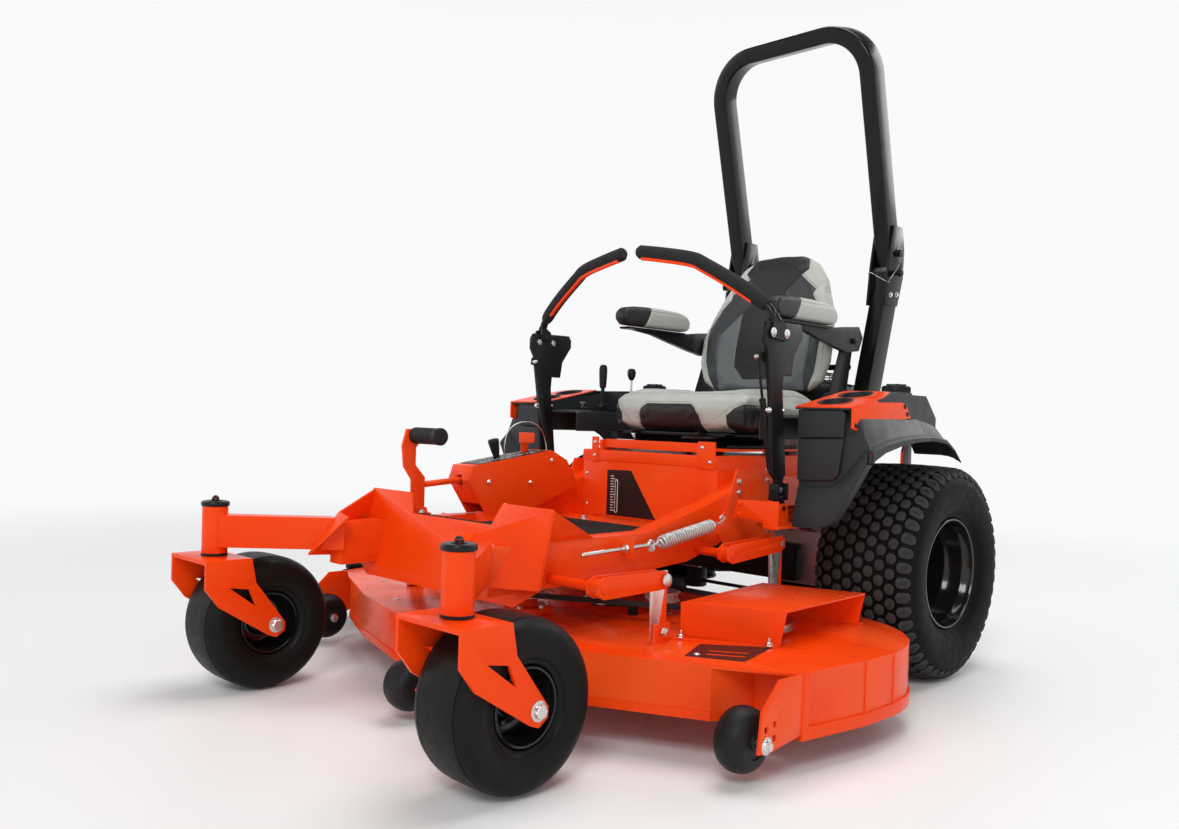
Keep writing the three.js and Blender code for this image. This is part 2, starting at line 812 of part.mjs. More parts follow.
function leverPath() {
  const { x, plateY, plateZ } = LEVER;
  return new THREE.CatmullRomCurve3([
    new THREE.Vector3(x - 4, plateY - 8, plateZ + 22),
    new THREE.Vector3(x - 18, plateY - 12, plateZ + 62),
    new THREE.Vector3(x - 90, plateY - 30, plateZ + 118),
    new THREE.Vector3(232, -581, 1084),
    new THREE.Vector3(190, -590, 1104),
    new THREE.Vector3(100, -602, 1122),
    new THREE.Vector3(24, -612, 1134),
  ]);
}

function leverHandle() {
  const { x, plateY, plateZ } = LEVER;
  const bar = sweep(leverPath(), ring(12, 8), 13);
  const plateSide = [
    [plateY - 36, plateZ - 14],
    [plateY + 32, plateZ - 18],
    [plateY + 30, plateZ + 18],
    [plateY + 4, plateZ + 40],
    [plateY - 26, plateZ + 36],
  ];
  const plate = prism("x", plateSide, x + 3.3, x + 9);
  const bolt = (dy) => rod([x + 8, plateY + dy, plateZ], [x + 15, plateY + dy, plateZ], 10, 12);
  const root = rod([x + 6, plateY - 8, plateZ + 26], [x - 4, plateY - 9, plateZ + 46], 11, 12);
  const postRoom = box([x - 20, plateY - 60, plateZ - 80], [x + 3.3, plateY + 60, plateZ + 30.5]);
  return join(cut(join(bar, root), postRoom), plate, bolt(-30), bolt(29));
}

// ---- Deck ----
const DECK_SIDE = [
  [684, -1036],
  [785, -975],
  [816, -760],
  ...arc([500, -650], 318, 0, 90, 6),
  [270, -332],
  [180, -420],
];
const DECK_NOSE = [
  [150, DECK.front],
  [420, -1160],
];
const topOutline = [...DECK_NOSE, ...DECK_SIDE];
const skirtOutline = [...DECK_NOSE, [640, -1056], [676, -956], [785, -956], ...DECK_SIDE.slice(2)];
const closed = (half) => [...half, ...mirrored(half)];

function deckShell() {
  const { top, skirtFront, skirtSide } = DECK;
  const walls = cut(
    prism("z", closed(skirtOutline), skirtSide, top - 1),
    prism("z", inset(closed(skirtOutline), SHEET), skirtSide - 1, top),
    box([-900, -1400, skirtSide - 1], [900, -965, skirtFront]),
  );
  const plate = prism("z", closed(topOutline), top - SHEET, top);
  const mouth = box([-840, -905, skirtSide - 1], [-760, -560, 180]);
  const brackets = [1, -1].map((s) => antiscalpBracket(s));
  const forkSide = [
    [-1250, 100],
    [-1330, 62],
    [-1345, 76],
    [-1330, 96],
    [-1250, 190],
  ];
  const { x: noseX, y: noseY, z: noseZ } = NOSE_ROLLER;
  const noseForks = [-47, 41].map((dx) => prism("x", forkSide, noseX + dx, noseX + dx + 6));
  const nosePin = rod([noseX - 50, noseY, noseZ], [noseX + 50, noseY, noseZ], 7, 12);
  const hangerFoot = ({ x, y, low }) => box([x + 5, y - 26, top - 2], [x + 11, y + 26, low + 18]);
  const feet = hangerPlaces.map(hangerFoot);
  const hangerFeet = feet.flatMap((foot) => [foot, foot.mirror([1, 0, 0])]);
  const housings = spindlePlaces.map(([x, y]) => rod([x, y, top - 30], [x, y, top + 20], 38, 12));
  const castings = spindlePlaces.map(([x, y]) => spindleHousing().translate([x, y, 0]));
  const straps = hangerPlaces.flatMap((place) => [hanger(place), hanger(place).mirror([1, 0, 0])]);
  const sheet = join(walls, plate, ...brackets, ...noseForks, nosePin, ...hangerFeet);
  return join(cut(sheet, mouth, ...housings), ...castings, ...straps);
}

const spindlePlaces = [
  [OUTER_SPINDLE.x, OUTER_SPINDLE.y],
  [CENTRE_SPINDLE.x, CENTRE_SPINDLE.y],
  [-OUTER_SPINDLE.x, OUTER_SPINDLE.y],
];
const ANTISCALP = { radius: 64, y: -1078, z: 82, in: 700, out: 766 };
const NOSE_ROLLER = { x: 17, y: -1328, z: 78, radius: 58 };

function antiscalpBracket(s) {
  const side = [
    [-1104, 70],
    [-1095, 147],
    [-1038, 199],
    [-950, 199],
    [-950, 80],
    [-1070, 66],
  ];
  const plate = prism("x", side, 783, 788);
  const square = (y, z) => box([770, y - 6, z - 6], [800, y + 6, z + 6]);
  const holes = [square(-1080, 112), square(-1052, 118), square(-1052, 92)];
  const { in: inner, y: axleY, z: axleZ } = ANTISCALP;
  const axle = rod([inner - 8, axleY, axleZ], [798, axleY, axleZ], 8, 12);
  const bracket = join(cut(plate, ...holes), axle);
  return s > 0 ? bracket : bracket.mirror([1, 0, 0]);
}

// Solid plastic roller about its own centre.
function roller(radius, halfWidth, bore) {
  const flat = radius / Math.cos(Math.PI / 20);
  const half = [
    [bore, halfWidth],
    [flat * 0.62, halfWidth],
    [flat * 0.9, halfWidth * 0.82],
    [flat, halfWidth * 0.4],
  ];
  return turned([...half, ...half.map(([r, x]) => [r, -x]).reverse()], 20);
}

// Where each hanger strap stands on the deck, left side: strap middle, deck pin and arm pin heights.
const hangerPlaces = [
  { x: 436, y: -976, low: 224, high: LIFT.frontZ },
  { x: 384, y: -446, low: 224, high: 374 },
];

function hanger({ x, y, low, high }) {
  const outline = [
    [y - 26, low - 18],
    [y + 22, low - 18],
    [y + 22, high + 18],
    [y - 32, high + 18],
  ];
  const strap = prism("x", outline, x - 3, x + 3);
  const slot = box([x - 6, y - 21, high - 10], [x + 6, y + 10, high + 10]);
  const pin = rod([x - 8, y, low], [x + 16, y, low], 7, 8);
  return join(cut(strap, slot), pin);
}

// Twin-plate arm from a lift shaft to the pin of a hanger strap.
function liftArm({ x, y, high }, pivotY, pivotZ) {
  const reach = new THREE.Vector2(y - pivotY, high - pivotZ);
  const tilt = Math.atan2(reach.y, reach.x);
  const length = reach.length();
  const flat = [
    ...arc([0, 0], 23, 90, 270, 3),
    ...arc([length, 0], 20, -90, 90, 3),
  ].map(([u, v]) => [
    pivotY + u * Math.cos(tilt) - v * Math.sin(tilt),
    pivotZ + u * Math.sin(tilt) + v * Math.cos(tilt),
  ]);
  const plates = [x - 14, x + 12].map((at) => prism("x", flat, at - 3, at + 3));
  const boss = rod([x - 17, pivotY, pivotZ], [x + 15, pivotY, pivotZ], 18, 12);
  const pin = rod([x - 20, y, high], [x + 20, y, high], 8, 8);
  return join(...plates, boss, pin);
}

// A cross shaft with an arm welded near each end.
function liftWeldment(place, y, z) {
  const arm = liftArm(place, y, z);
  const half = place.x + 17;
  return join(rod([-half, y, z], [half, y, z], 11, 12), arm, arm.mirror([1, 0, 0]));
}

function liftSpring() {
  const x = RAIL_OUT + 32;
  const coil = rod([x, -850, 394], [x, -640, 426], 17, 16);
  const draw = rod([x, -1110, 386], [x, -845, 395], 5, 10);
  const hook = rod([x, -645, 425], [x, -590, 434], 5, 10);
  return join(coil, draw, hook);
}

function beltCover() {
  const plan = [
    [440, -905],
    [648, -800],
    [634, -440],
    [395, -520],
  ];
  const [low, high, lean] = [DECK.top + 2.5, 279, 16];
  const edges = [
    { a: plan[0], b: plan[1], out: -24 },
    { a: plan[3], b: plan[2], out: 24 },
  ];
  const top = prism("z", plan, high - 3, high + 1);
  const walls = edges.map(({ a, b }) =>
    facet([[...a, high], [...b, high], [b[0] - lean, b[1], low], [...a, low]], 4),
  );
  const flanges = edges.map(({ a, b, out }) => {
    const inner = [a, [b[0] - lean, b[1]]];
    const outer = inner.map(([x, y]) => [x, y + out]).reverse();
    return prism("z", [...inner, ...outer], DECK.top + GAP, DECK.top + GAP + 4);
  });
  return join(top, ...walls, ...flanges);
}

// Cast housing, shaft with pulley, and blade, about the spindle's axis.
function spindleHousing() {
  const { top } = DECK;
  const neck = rod([0, 0, top - 28], [0, 0, top + 2], 40.5, 12);
  const flange = rod([0, 0, top - 1], [0, 0, top + 14], 70, 6);
  const head = rod([0, 0, top + 13], [0, 0, top + 32], 34, 12, 28);
  const bore = rod([0, 0, top - 40], [0, 0, top + 40], 13.4, 12);
  return cut(join(neck, flange, head), bore);
}

function spindle() {
  const { radius, low, high } = PULLEY;
  const shaft = rod([0, 0, 96], [0, 0, high + 6], 12.7, 12);
  const washer = rod([0, 0, 96], [0, 0, 104], 26, 12);
  const pulley = rod([0, 0, low], [0, 0, high], radius, 20);
  const groove = cut(
    rod([0, 0, low + 5], [0, 0, high - 5], radius + 5, 20),
    rod([0, 0, low], [0, 0, high], radius - 9, 20),
  );
  return join(shaft, washer, cut(pulley, groove));
}

function blade() {
  const plan = [
    [-BLADE_RADIUS + 6, -28],
    [BLADE_RADIUS - 6, -28],
    [BLADE_RADIUS - 1, 28],
    [-BLADE_RADIUS + 1, 28],
  ];
  const bar = prism("z", plan, 89, 95.7);
  const liftSide = [
    [10, 92],
    [28, 89],
    [28, 108],
    [22, 108],
  ];
  const lifts = [-250, 170].map((x) => prism("x", liftSide, x, x + 80));
  const bolt = rod([0, 0, 80], [0, 0, 90], 14, 6);
  return join(bar, ...lifts, bolt);
}

function dischargeChute() {
  const side = [
    [-824, 196],
    [-824, 190],
    [-1010, 108],
    [-1016, 112],
  ];
  const top = prism("y", side.slice().reverse(), -960, -560);
  const cheekSide = [
    [-824, 196],
    [-1014, 112],
    [-1004, 84],
    [-830, 96],
  ];
  const cheek = (y) => prism("y", cheekSide, y, y + 5);
  const barrel = rod([-826, -930, 204], [-826, -590, 204], 9, 12);
  return join(top, cheek(-960), cheek(-565), barrel);
}

// ---- Height console, pedal and rod on the right of the foot platform ----
const PEDAL = { x: -222, y: -1140, z: 430 };
const PUSH_ROD = { x: PEDAL.x - 14, front: -1128, back: -905, z: 500 };

function heightConsole() {
  const side = [
    [-1000, 510],
    [-985, 548],
    [-700, 588],
    [-640, 560],
    [-590, 490],
    [-640, 474],
    [-760, 430],
    [-850, 417 + GAP],
    [-935, 417 + GAP],
  ];
  const inside = [
    [-960, 400],
    [-950, 532],
    [-720, 552],
    [-660, 500],
    [-800, 400],
  ];
  const shell = prism("x", side, PUSH_ROD.x - 42, PUSH_ROD.x + 42);
  const room = prism("x", inside, PUSH_ROD.x - 37, PUSH_ROD.x + 37);
  const pinSlot = box([-252, -800, 540], [-240, -720, 600]);
  const rodHole = rod([PUSH_ROD.x, -1010, 508], [PUSH_ROD.x, -930, 514], 15, 12);
  const foot = box([PUSH_ROD.x - 4, -935, 396], [PUSH_ROD.x + 42, -850, 425]);
  return join(cut(shell, room, pinSlot, rodHole), foot);
}

function pedalLever() {
  const side = [
    [PEDAL.y - 18, PEDAL.z - 18],
    [PEDAL.y + 18, PEDAL.z - 18],
    [PEDAL.y + 18, 520],
    [PEDAL.y - 12, 552],
    [PEDAL.y - 12, 596],
    [PEDAL.y + 8, 616],
    [PEDAL.y + 8, 642],
    [PEDAL.y - 40, 642],
    [PEDAL.y - 52, 600],
    [PEDAL.y - 46, 548],
    [PEDAL.y - 22, 516],
  ];
  const plate = prism("x", side, PEDAL.x - 4, PEDAL.x + 4);
  const pin = rod([PEDAL.x - 14, PEDAL.y, PEDAL.z], [PEDAL.x + 14, PEDAL.y, PEDAL.z], 9, 12);
  const stub = rod([PEDAL.x + 3, PEDAL.y - 16, 626], [PEDAL.x + 104, PEDAL.y - 16, 626], 17, 16);
  return join(plate, pin, stub);
}

function pedalStand() {
  const { x, y, z } = PEDAL;
  const side = [
    [y - 30, 398],
    [y + 34, 398],
    [y + 18, z + 16],
    [y - 14, z + 16],
  ];
  const hole = rod([x - 40, y, z], [x + 40, y, z], 9.5, 12);
  return [x - 13, x + 8].map((at) => cut(prism("x", side, at, at + 5), hole));
}

const pushRod = () =>
  rod([PUSH_ROD.x, PUSH_ROD.front, PUSH_ROD.z], [PUSH_ROD.x, PUSH_ROD.back, PUSH_ROD.z + 16], 8, 12);

function ballLever(radius, ball, height) {
  const stem = rod([0, 0, 0], [0, 0, height], radius, 10);
  const sphere = new THREE.SphereGeometry(ball, 10, 6).rotateX(Math.PI / 2);
  const knob = solid(sphere.translate(0, 0, height));
  const hub = rod([-10, 0, 0], [10, 0, 0], 9, 12);
  return join(stem, knob, hub);
}

// ---- Assembly ----
addPair("frame_rail", join(frameRail(), leverBase(), leverStand()), ORANGE);
addPair("caster_arm", casterArm(), ORANGE);
add("foot_platform", footPlatform(), ORANGE);
add("seat_base", seatBase(), ORANGE);
add("engine_deck", join(engineDeck(), rearGuard()), ORANGE);
add("engine_block", engineBlock(), CASTING);
add("engine_shroud", engineShroud(), PLASTIC);
addPair("hydro", hydro(), CASTING);

const driveCentre = [DRIVE_TYRE.x, 0, DRIVE_TYRE.radius];
addPair("drive_tyre", driveTyre(), RUBBER, driveCentre);
addPair("drive_rim", driveRim(), BLACK, driveCentre);

const casterCentre = [CASTER_PIVOT.x, CASTER_PIVOT.y + CASTER_TRAIL, CASTER_TYRE.radius];
addPair("caster_fork", casterFork(), ORANGE, [CASTER_PIVOT.x, CASTER_PIVOT.y, 0]);
addPair("caster_tyre", casterTyre(), RUBBER, casterCentre);
addPair("caster_rim", casterRim(), BLACK, casterCentre);

addPair("rops_post", ropsPost(), BLACK);
const hoop = ropsHoop().rotate([ROPS.lean, 0, 0]).translate([0, ROPS.pinY, ROPS.pinZ]);
add("rops_hoop", hoop, BLACK);

addPair("fender", fender(), PLASTIC);
addPair("console", join(consoleBox(), fuelTank()), PLASTIC);

add("seat_pan", seatPan(), ORANGE);
add("seat_suspension", join(seatSuspension(), seatFrame()), BLACK);
add("seat_cushion", seatCushion(), VINYL);
add("seat_back", seatBack(), VINYL);
addPair("armrest", armrest(), VINYL);

addPair("lever_foot", leverFoot(), BLACK);
addPair("lever_post", leverPost(), BLACK);
addPair("lever_handle", leverHandle(), BLACK);

add("deck_shell", deckShell(), ORANGE);
addPair("belt_cover", beltCover(), ORANGE);
spindlePlaces.forEach(([x, y], i) => {
  const side = ["left", "centre", "right"][i];
  add("spindle_" + side, spindle(), STEEL, [x, y, 0]);
  add("blade_" + side, blade(), STEEL, [x, y, 0]);
});
add("discharge_chute", dischargeChute(), PLASTIC);
const scalpX = (ANTISCALP.in + ANTISCALP.out) / 2;
addPair("antiscalp", roller(ANTISCALP.radius, 33, 8.5), RUBBER, [scalpX, ANTISCALP.y, ANTISCALP.z]);
const noseCentre = [NOSE_ROLLER.x, NOSE_ROLLER.y, NOSE_ROLLER.z];
add("antiscalp_centre", roller(NOSE_ROLLER.radius, 38, 7.5), RUBBER, noseCentre);

const [frontHanger, rearHanger] = hangerPlaces;
const liftFront = [LIFT.frontY, LIFT.frontZ];
const liftRear = [LIFT.rearY, LIFT.rearZ];
add("lift_shaft_front", liftWeldment(frontHanger, ...liftFront), ORANGE);
add("lift_shaft_rear", liftWeldment(rearHanger, ...liftRear), ORANGE);
add("lift_spring", liftSpring(), STEEL);
add("pedal_lever", pedalLever(), ORANGE);
add("push_rod", pushRod(), ORANGE);
add("throttle_lever", ballLever(5, 15, 110), BLACK, [-341, -207, 718]);
add("parking_brake", ballLever(8, 13, 120), BLACK, [-352, -330, 718]);

// The part's origin is the middle of its bounding box, on the ground.
const extent = new THREE.Box3().setFromObject(mower);
const middle = extent.getCenter(new THREE.Vector3());
mower.position.set(-middle.x, -middle.y, -extent.min.z);

export default part;
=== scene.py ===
import math
import bpy
import bmesh
from mathutils import Matrix, Vector
from mathutils.geometry import tessellate_polygon


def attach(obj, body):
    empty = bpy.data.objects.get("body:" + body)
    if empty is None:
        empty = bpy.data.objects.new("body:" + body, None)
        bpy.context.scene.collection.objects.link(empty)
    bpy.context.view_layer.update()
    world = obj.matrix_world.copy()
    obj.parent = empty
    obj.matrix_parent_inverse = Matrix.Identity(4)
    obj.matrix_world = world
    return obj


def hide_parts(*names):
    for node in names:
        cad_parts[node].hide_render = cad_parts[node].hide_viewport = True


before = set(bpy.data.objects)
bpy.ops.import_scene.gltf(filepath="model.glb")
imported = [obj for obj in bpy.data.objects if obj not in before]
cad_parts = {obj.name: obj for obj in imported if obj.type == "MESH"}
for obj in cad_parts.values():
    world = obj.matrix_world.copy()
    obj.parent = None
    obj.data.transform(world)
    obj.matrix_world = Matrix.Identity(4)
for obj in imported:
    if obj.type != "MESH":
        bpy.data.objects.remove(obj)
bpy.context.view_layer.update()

# Pieces are drawn in the mower's own millimetres: X is its left, -Y is forward,
# the rear axle is at Y 0 and the ground at Z 0. TO_ROW takes them to the shared frame in metres.
OFFSET = Vector((99.0, 555.5, 0.0))
TO_ROW = Matrix.Scale(0.001, 4) @ Matrix.Translation(OFFSET)
MIRROR = Matrix.Scale(-1, 4, (1, 0, 0))
SIDES = (("left", 1), ("right", -1))
LEFT = (1, 0, 0)
UP = (0, 0, 1)
scene = bpy.context.scene

# Where an outline's (u, v) and the thickness w go when it is made thick along an axis.
THICK_ALONG = {
    "x": lambda u, v, w: (w, u, v),
    "y": lambda u, v, w: (u, w, v),
    "z": lambda u, v, w: (u, v, w),
}


# ---- Drawing ----
def bridge(bm, a, b):
    """Quads between two closed loops with as many points as each other."""
    for i in range(len(a)):
        j = (i + 1) % len(a)
        bm.faces.new((a[i], a[j], b[j], b[i]))


def slab(bm, low, high):
    """A solid between two flat loops."""
    bm.faces.new(low)
    bm.faces.new(high[::-1])
    bridge(bm, low, high)


def loft(bm, loops, capped=True):
    """A skin through a row of closed loops, with faces over the first and the last."""
    for a, b in zip(loops, loops[1:]):
        bridge(bm, a, b)
    if capped:
        bm.faces.new(loops[0])
        bm.faces.new(loops[-1])


def prism(bm, axis, outline, low, high):
    """A flat outline made thick along one axis; its points are (y, z), (x, z) or (x, y)."""
    order = THICK_ALONG[axis]
    slab(bm, *[[bm.verts.new(order(u, v, w)) for u, v in outline] for w in (low, high)])


def box(bm, low, high):
    """A block between two opposite corners."""
    (x0, y0, z0), (x1, y1, z1) = low, high
    prism(bm, "z", [(x0, y0), (x1, y0), (x1, y1), (x0, y1)], z0, z1)


def plate(bm, corners, thickness):
    """A thin plate on flat corners, half its thickness to each side."""
    points = [Vector(c) for c in corners]
    normal = (points[1] - points[0]).cross(points[2] - points[0]).normalized() * thickness / 2
    slab(bm, *[[bm.verts.new(p + normal * s) for p in points] for s in (-1, 1)])


def spokes(count, shift=0.0):
    """Cosine and sine of evenly spaced turns; shift is in steps."""
    turns = [2 * math.pi * (i + shift) / count for i in range(count)]
    return [(math.cos(t), math.sin(t)) for t in turns]


def circle(radius, sides):
    """Points round the middle of a section."""
    return [(radius * c, radius * s) for c, s in spokes(sides)]


def disc(u, v, radius, sides=32):
    """A circle's points round a place."""
    return [(u + a, v + b) for a, b in circle(radius, sides)]


def frame_at(direction, hint=UP):
    """Two unit vectors square to a direction."""
    along = Vector(direction).normalized()
    side = Vector(hint).cross(along)
    if side.length < 1e-3:
        side = Vector(LEFT).cross(along)
    side.normalize()
    return side, along.cross(side)


def lathe(bm, place, direction, profile, sides, closed=False):
    """A turned solid: its profile is (radius, height along the direction). Closed means a ring."""
    along = Vector(direction).normalized()
    u, v = frame_at(along)
    loops = []
    for radius, height in profile:
        centre = Vector(place) + along * height
        if radius < 1e-6:
            loops.append([bm.verts.new(centre)])
            continue
        loops.append([bm.verts.new(centre + (u * c + v * s) * radius) for c, s in spokes(sides)])
    pairs = list(zip(loops, loops[1:])) + ([(loops[-1], loops[0])] if closed else [])
    for a, b in pairs:
        if len(a) == len(b) == 1:
            continue
        if len(a) == 1 or len(b) == 1:
            tip, loop = (a[0], b) if len(a) == 1 else (b[0], a)
            for i in range(sides):
                bm.faces.new((tip, loop[i], loop[(i + 1) % sides]))
        else:
            bridge(bm, a, b)
    if not closed:
        for loop in (loops[0], loops[-1]):
            if len(loop) > 1:
                bm.faces.new(loop)


def rod(bm, a, b, radius, sides=24, edge=None):
    """A round bar with its ends eased."""
    along = Vector(b) - Vector(a)
    length = along.length
    ease = min(1.0 if edge is None else edge, radius * 0.4, length * 0.3)
    profile = [(radius - ease, 0), (radius, ease), (radius, length - ease), (radius - ease, length)]
    lathe(bm, a, along, profile, sides)


def smooth_path(points, steps):
    """A Catmull-Rom curve through the points."""
    p = [Vector(q) for q in points]
    p = [p[0] * 2 - p[1]] + p + [p[-1] * 2 - p[-2]]
    out = []
    for i in range(1, len(p) - 2):
        for k in range(steps):
            t = k / steps
            a, b, c, d = p[i - 1], p[i], p[i + 1], p[i + 2]
            bend, twist = 2 * a - 5 * b + 4 * c - d, 3 * b - a - 3 * c + d
            out.append(0.5 * (2 * b + (c - a) * t + bend * t * t + twist * t ** 3))
    return out + [p[-2]]


def sweep(bm, path, section, hint=UP, capped=True):
    """A section of (u, v) points swept along a path; hint is the section's v direction at the start."""
    path = [Vector(p) for p in path]
    side, up = frame_at(path[1] - path[0], hint)
    loops = []
    for i, here in enumerate(path):
        tangent = (path[min(i + 1, len(path) - 1)] - path[max(i - 1, 0)]).normalized()
        side = (side - tangent * side.dot(tangent)).normalized()
        up = tangent.cross(side)
        shape = section(i / (len(path) - 1)) if callable(section) else section
        loops.append([bm.verts.new(here + side * u + up * v) for u, v in shape])
    loft(bm, loops, capped)


def tube(bm, points, radius, sides=12, steps=8):
    """A round bar along a smooth line, or along its points as they are when steps is 0."""
    sweep(bm, smooth_path(points, steps) if steps else points, circle(radius, sides))


def rounded(half_u, half_v, radius, steps=4):
    """A rounded rectangle as (u, v) points."""
    out = []
    for turn, (u, v) in enumerate(((1, 1), (-1, 1), (-1, -1), (1, -1))):
        for i in range(steps + 1):
            angle = math.pi / 2 * (turn + i / steps)
            out.append((u * (half_u - radius) + radius * math.cos(angle),
                        v * (half_v - radius) + radius * math.sin(angle)))
    return out


def bolt(bm, place, direction, size=9, washer=True):
    """A flanged hexagon head standing on a face."""
    if washer:
        lathe(bm, place, direction, [(size * 1.05, 0), (size * 1.05, 1.2), (size * 0.95, 2), (0, 2.0)], 24)
    start = Vector(place) + Vector(direction).normalized() * 1.5
    lathe(bm, start, direction, [(size * 0.82, 0), (size * 0.82, size * 0.5), (size * 0.7, size * 0.62),
                                 (0, size * 0.66)], 6)


def dome(bm, place, direction, radius, height, sides=20):
    """A round carriage-bolt head."""
    arc = [(radius * math.cos(t), height * math.sin(t)) for t in [math.pi / 2 * i / 5 for i in range(5)]]
    lathe(bm, place, direction, [(radius, -0.5)] + arc + [(0, height)], sides)


def ease_edges(bm, width, angle=32, segments=2):
    """Bevels every edge sharper than an angle."""
    bmesh.ops.recalc_face_normals(bm, faces=bm.faces)
    limit = math.radians(angle)
    edges = [e for e in bm.edges if len(e.link_faces) == 2 and e.calc_face_angle() > limit]
    bmesh.ops.bevel(bm, geom=edges, offset=width, segments=segments, profile=0.6, affect="EDGES",
                    clamp_overlap=True)


def as_mesh(bm, name):
    """The drawing as a mesh; the drawing itself is freed."""
    mesh = bpy.data.meshes.new(name)
    bm.to_mesh(mesh)
    bm.free()
    return mesh


def finish_piece(name, mesh, materials, body, stands_for=(), smooth=38):
    """Links a mesh that is already in the shared frame as a piece that rides on a body."""
    mesh.polygons.foreach_set("use_smooth", [True] * len(mesh.polygons))
    mesh.set_sharp_from_angle(angle=math.radians(smooth))
    for material in materials if isinstance(materials, list) else [materials]:
        mesh.materials.append(material)
    piece = bpy.data.objects.new(name, mesh)
    scene.collection.objects.link(piece)
    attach(piece, body)
    if stands_for:
        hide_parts(*stands_for)
    return piece


def add(name, draw, material, body, stands_for=(), edge=0, mirror=False, smooth=38):
    """One piece from a function that draws it in the mower's millimetres."""
    bm = bmesh.new()
    draw(bm)
    if mirror:
        bm.transform(MIRROR)
    if edge:
        ease_edges(bm, edge)
    bmesh.ops.recalc_face_normals(bm, faces=bm.faces)
    bm.transform(TO_ROW)
    return finish_piece(name, as_mesh(bm, name), material, body, stands_for, smooth)


def sided(word, side):
    """A body's or a node's name, with the side added if it ends in "_"."""
    return word + side if word.endswith("_") else word


def add_pair(name, draw, material, body, stands_for=(), edge=0, smooth=38):
    """A left piece and its mirror image, with their bodies and nodes named as sided says."""
    for side, sign in SIDES:
        nodes = [sided(node, side) for node in stands_for]
        add(f"{name}_{side}", draw, material, sided(body, side), nodes, edge, sign < 0, smooth)


# ---- Materials ----
def set_range(node, *values):
    """What a map-range node takes in and what it gives out: two limits each."""
    for socket, value in zip(("From Min", "From Max", "To Min", "To Max"), values):
        node.inputs[socket].default_value = value


def surface(name, colour, rough, metallic, vary, scale, rough_vary, grain, bump,
            kind="noise", coat=0.0, stretch=(1, 1, 1), edge=None, depth=0.0006, gloss=0.3):
    """A procedural finish: drifting colour, uneven gloss and a fine grain, with lighter or darker edges."""
    material = bpy.data.materials.new(name)
    material.use_nodes = True
    nodes, links = material.node_tree.nodes, material.node_tree.links
    shader = nodes["Principled BSDF"]
    shader.inputs["Metallic"].default_value = metallic
    shader.inputs["Specular IOR Level"].default_value = gloss
    shader.inputs["Coat Weight"].default_value = coat
    shader.inputs["Coat Roughness"].default_value = 0.12
    place = nodes.new("ShaderNodeTexCoord").outputs["Object"]
    mapping = nodes.new("ShaderNodeMapping")
    mapping.inputs["Scale"].default_value = stretch
    links.new(place, mapping.inputs["Vector"])

    def noise(size, detail=3.0, source=place):
        node = nodes.new("ShaderNodeTexNoise")
        node.inputs["Scale"].default_value = size
        node.inputs["Detail"].default_value = detail
        links.new(source, node.inputs["Vector"])
        return node.outputs["Fac"]

    def spread(source, low, high, start=0.3, end=0.7):
        node = nodes.new("ShaderNodeMapRange")
        set_range(node, start, end, low, high)
        links.new(source, node.inputs["Value"])
        return node.outputs["Result"]

    def blend(factor, first, second):
        node = nodes.new("ShaderNodeMix")
        node.data_type = "RGBA"
        links.new(factor, node.inputs[0])
        for socket, value in ((node.inputs[6], first), (node.inputs[7], second)):
            if isinstance(value, bpy.types.NodeSocket):
                links.new(value, socket)
            else:
                socket.default_value = (*value, 1)
        return node.outputs[2]

    shade = lambda k: tuple(min(c * k, 1.0) for c in colour)
    tint = blend(spread(noise(scale, 4), 0, 1), shade(1 - vary), shade(1 + vary))
    speck = spread(noise(grain * 0.4, 2), 0, 0.25, 0.45, 0.75)
    tint = blend(speck, tint, shade(1 - 2 * vary))
    if edge is not None:
        point = nodes.new("ShaderNodeNewGeometry").outputs["Pointiness"]
        tint = blend(spread(point, 0, 0.55, 0.53, 0.62), tint, edge)
    links.new(tint, shader.inputs["Base Color"])
    links.new(spread(noise(scale * 6, 3), rough - rough_vary, rough + rough_vary),
              shader.inputs["Roughness"])
    if kind == "cells":
        cell = nodes.new("ShaderNodeTexVoronoi")
        cell.inputs["Scale"].default_value = grain
        links.new(mapping.outputs["Vector"], cell.inputs["Vector"])
        height = cell.outputs["Distance"]
    else:
        height = noise(grain, 3, mapping.outputs["Vector"])
    relief = nodes.new("ShaderNodeBump")
    relief.inputs["Strength"].default_value = bump
    relief.inputs["Distance"].default_value = depth
    links.new(height, relief.inputs["Height"])
    links.new(relief.outputs["Normal"], shader.inputs["Normal"])
    return material


# Name, colour, roughness, metal, drift of the colour and its scale, drift of the gloss, and the
# grain's scale and strength.
ORANGE = surface("orange_powder_coat", (0.88, 0.056, 0.003), 0.28, 0.0, 0.05, 2.5, 0.05, 700, 0.10,
                 coat=0.06, edge=(0.92, 0.11, 0.02), gloss=0.10)
BLACK = surface("gloss_black_paint", (0.004, 0.004, 0.004), 0.20, 0.0, 0.2, 3, 0.05, 800, 0.1, coat=0.10,
                gloss=0.20)
SATIN_BLACK = surface("satin_black_paint", (0.008, 0.008, 0.009), 0.34, 0.0, 0.2, 4, 0.07, 900, 0.15,
                      gloss=0.22)
RIM_BLACK = surface("rim_enamel", (0.006, 0.006, 0.006), 0.15, 0.0, 0.2, 3, 0.04, 500, 0.06, coat=0.3)
PLASTIC = surface("moulded_plastic", (0.026, 0.030, 0.033), 0.44, 0.0, 0.08, 4, 0.06, 1500, 0.25,
                  kind="cells", gloss=0.22)
BLACK_PLASTIC = surface("black_moulded_plastic", (0.009, 0.009, 0.010), 0.48, 0.0, 0.15, 5, 0.08, 1300, 0.3,
                        kind="cells", gloss=0.25)
TYRE = surface("tyre_rubber", (0.005, 0.005, 0.005), 0.60, 0.0, 0.22, 9, 0.08, 420, 0.35,
               edge=(0.018, 0.018, 0.019), gloss=0.1)
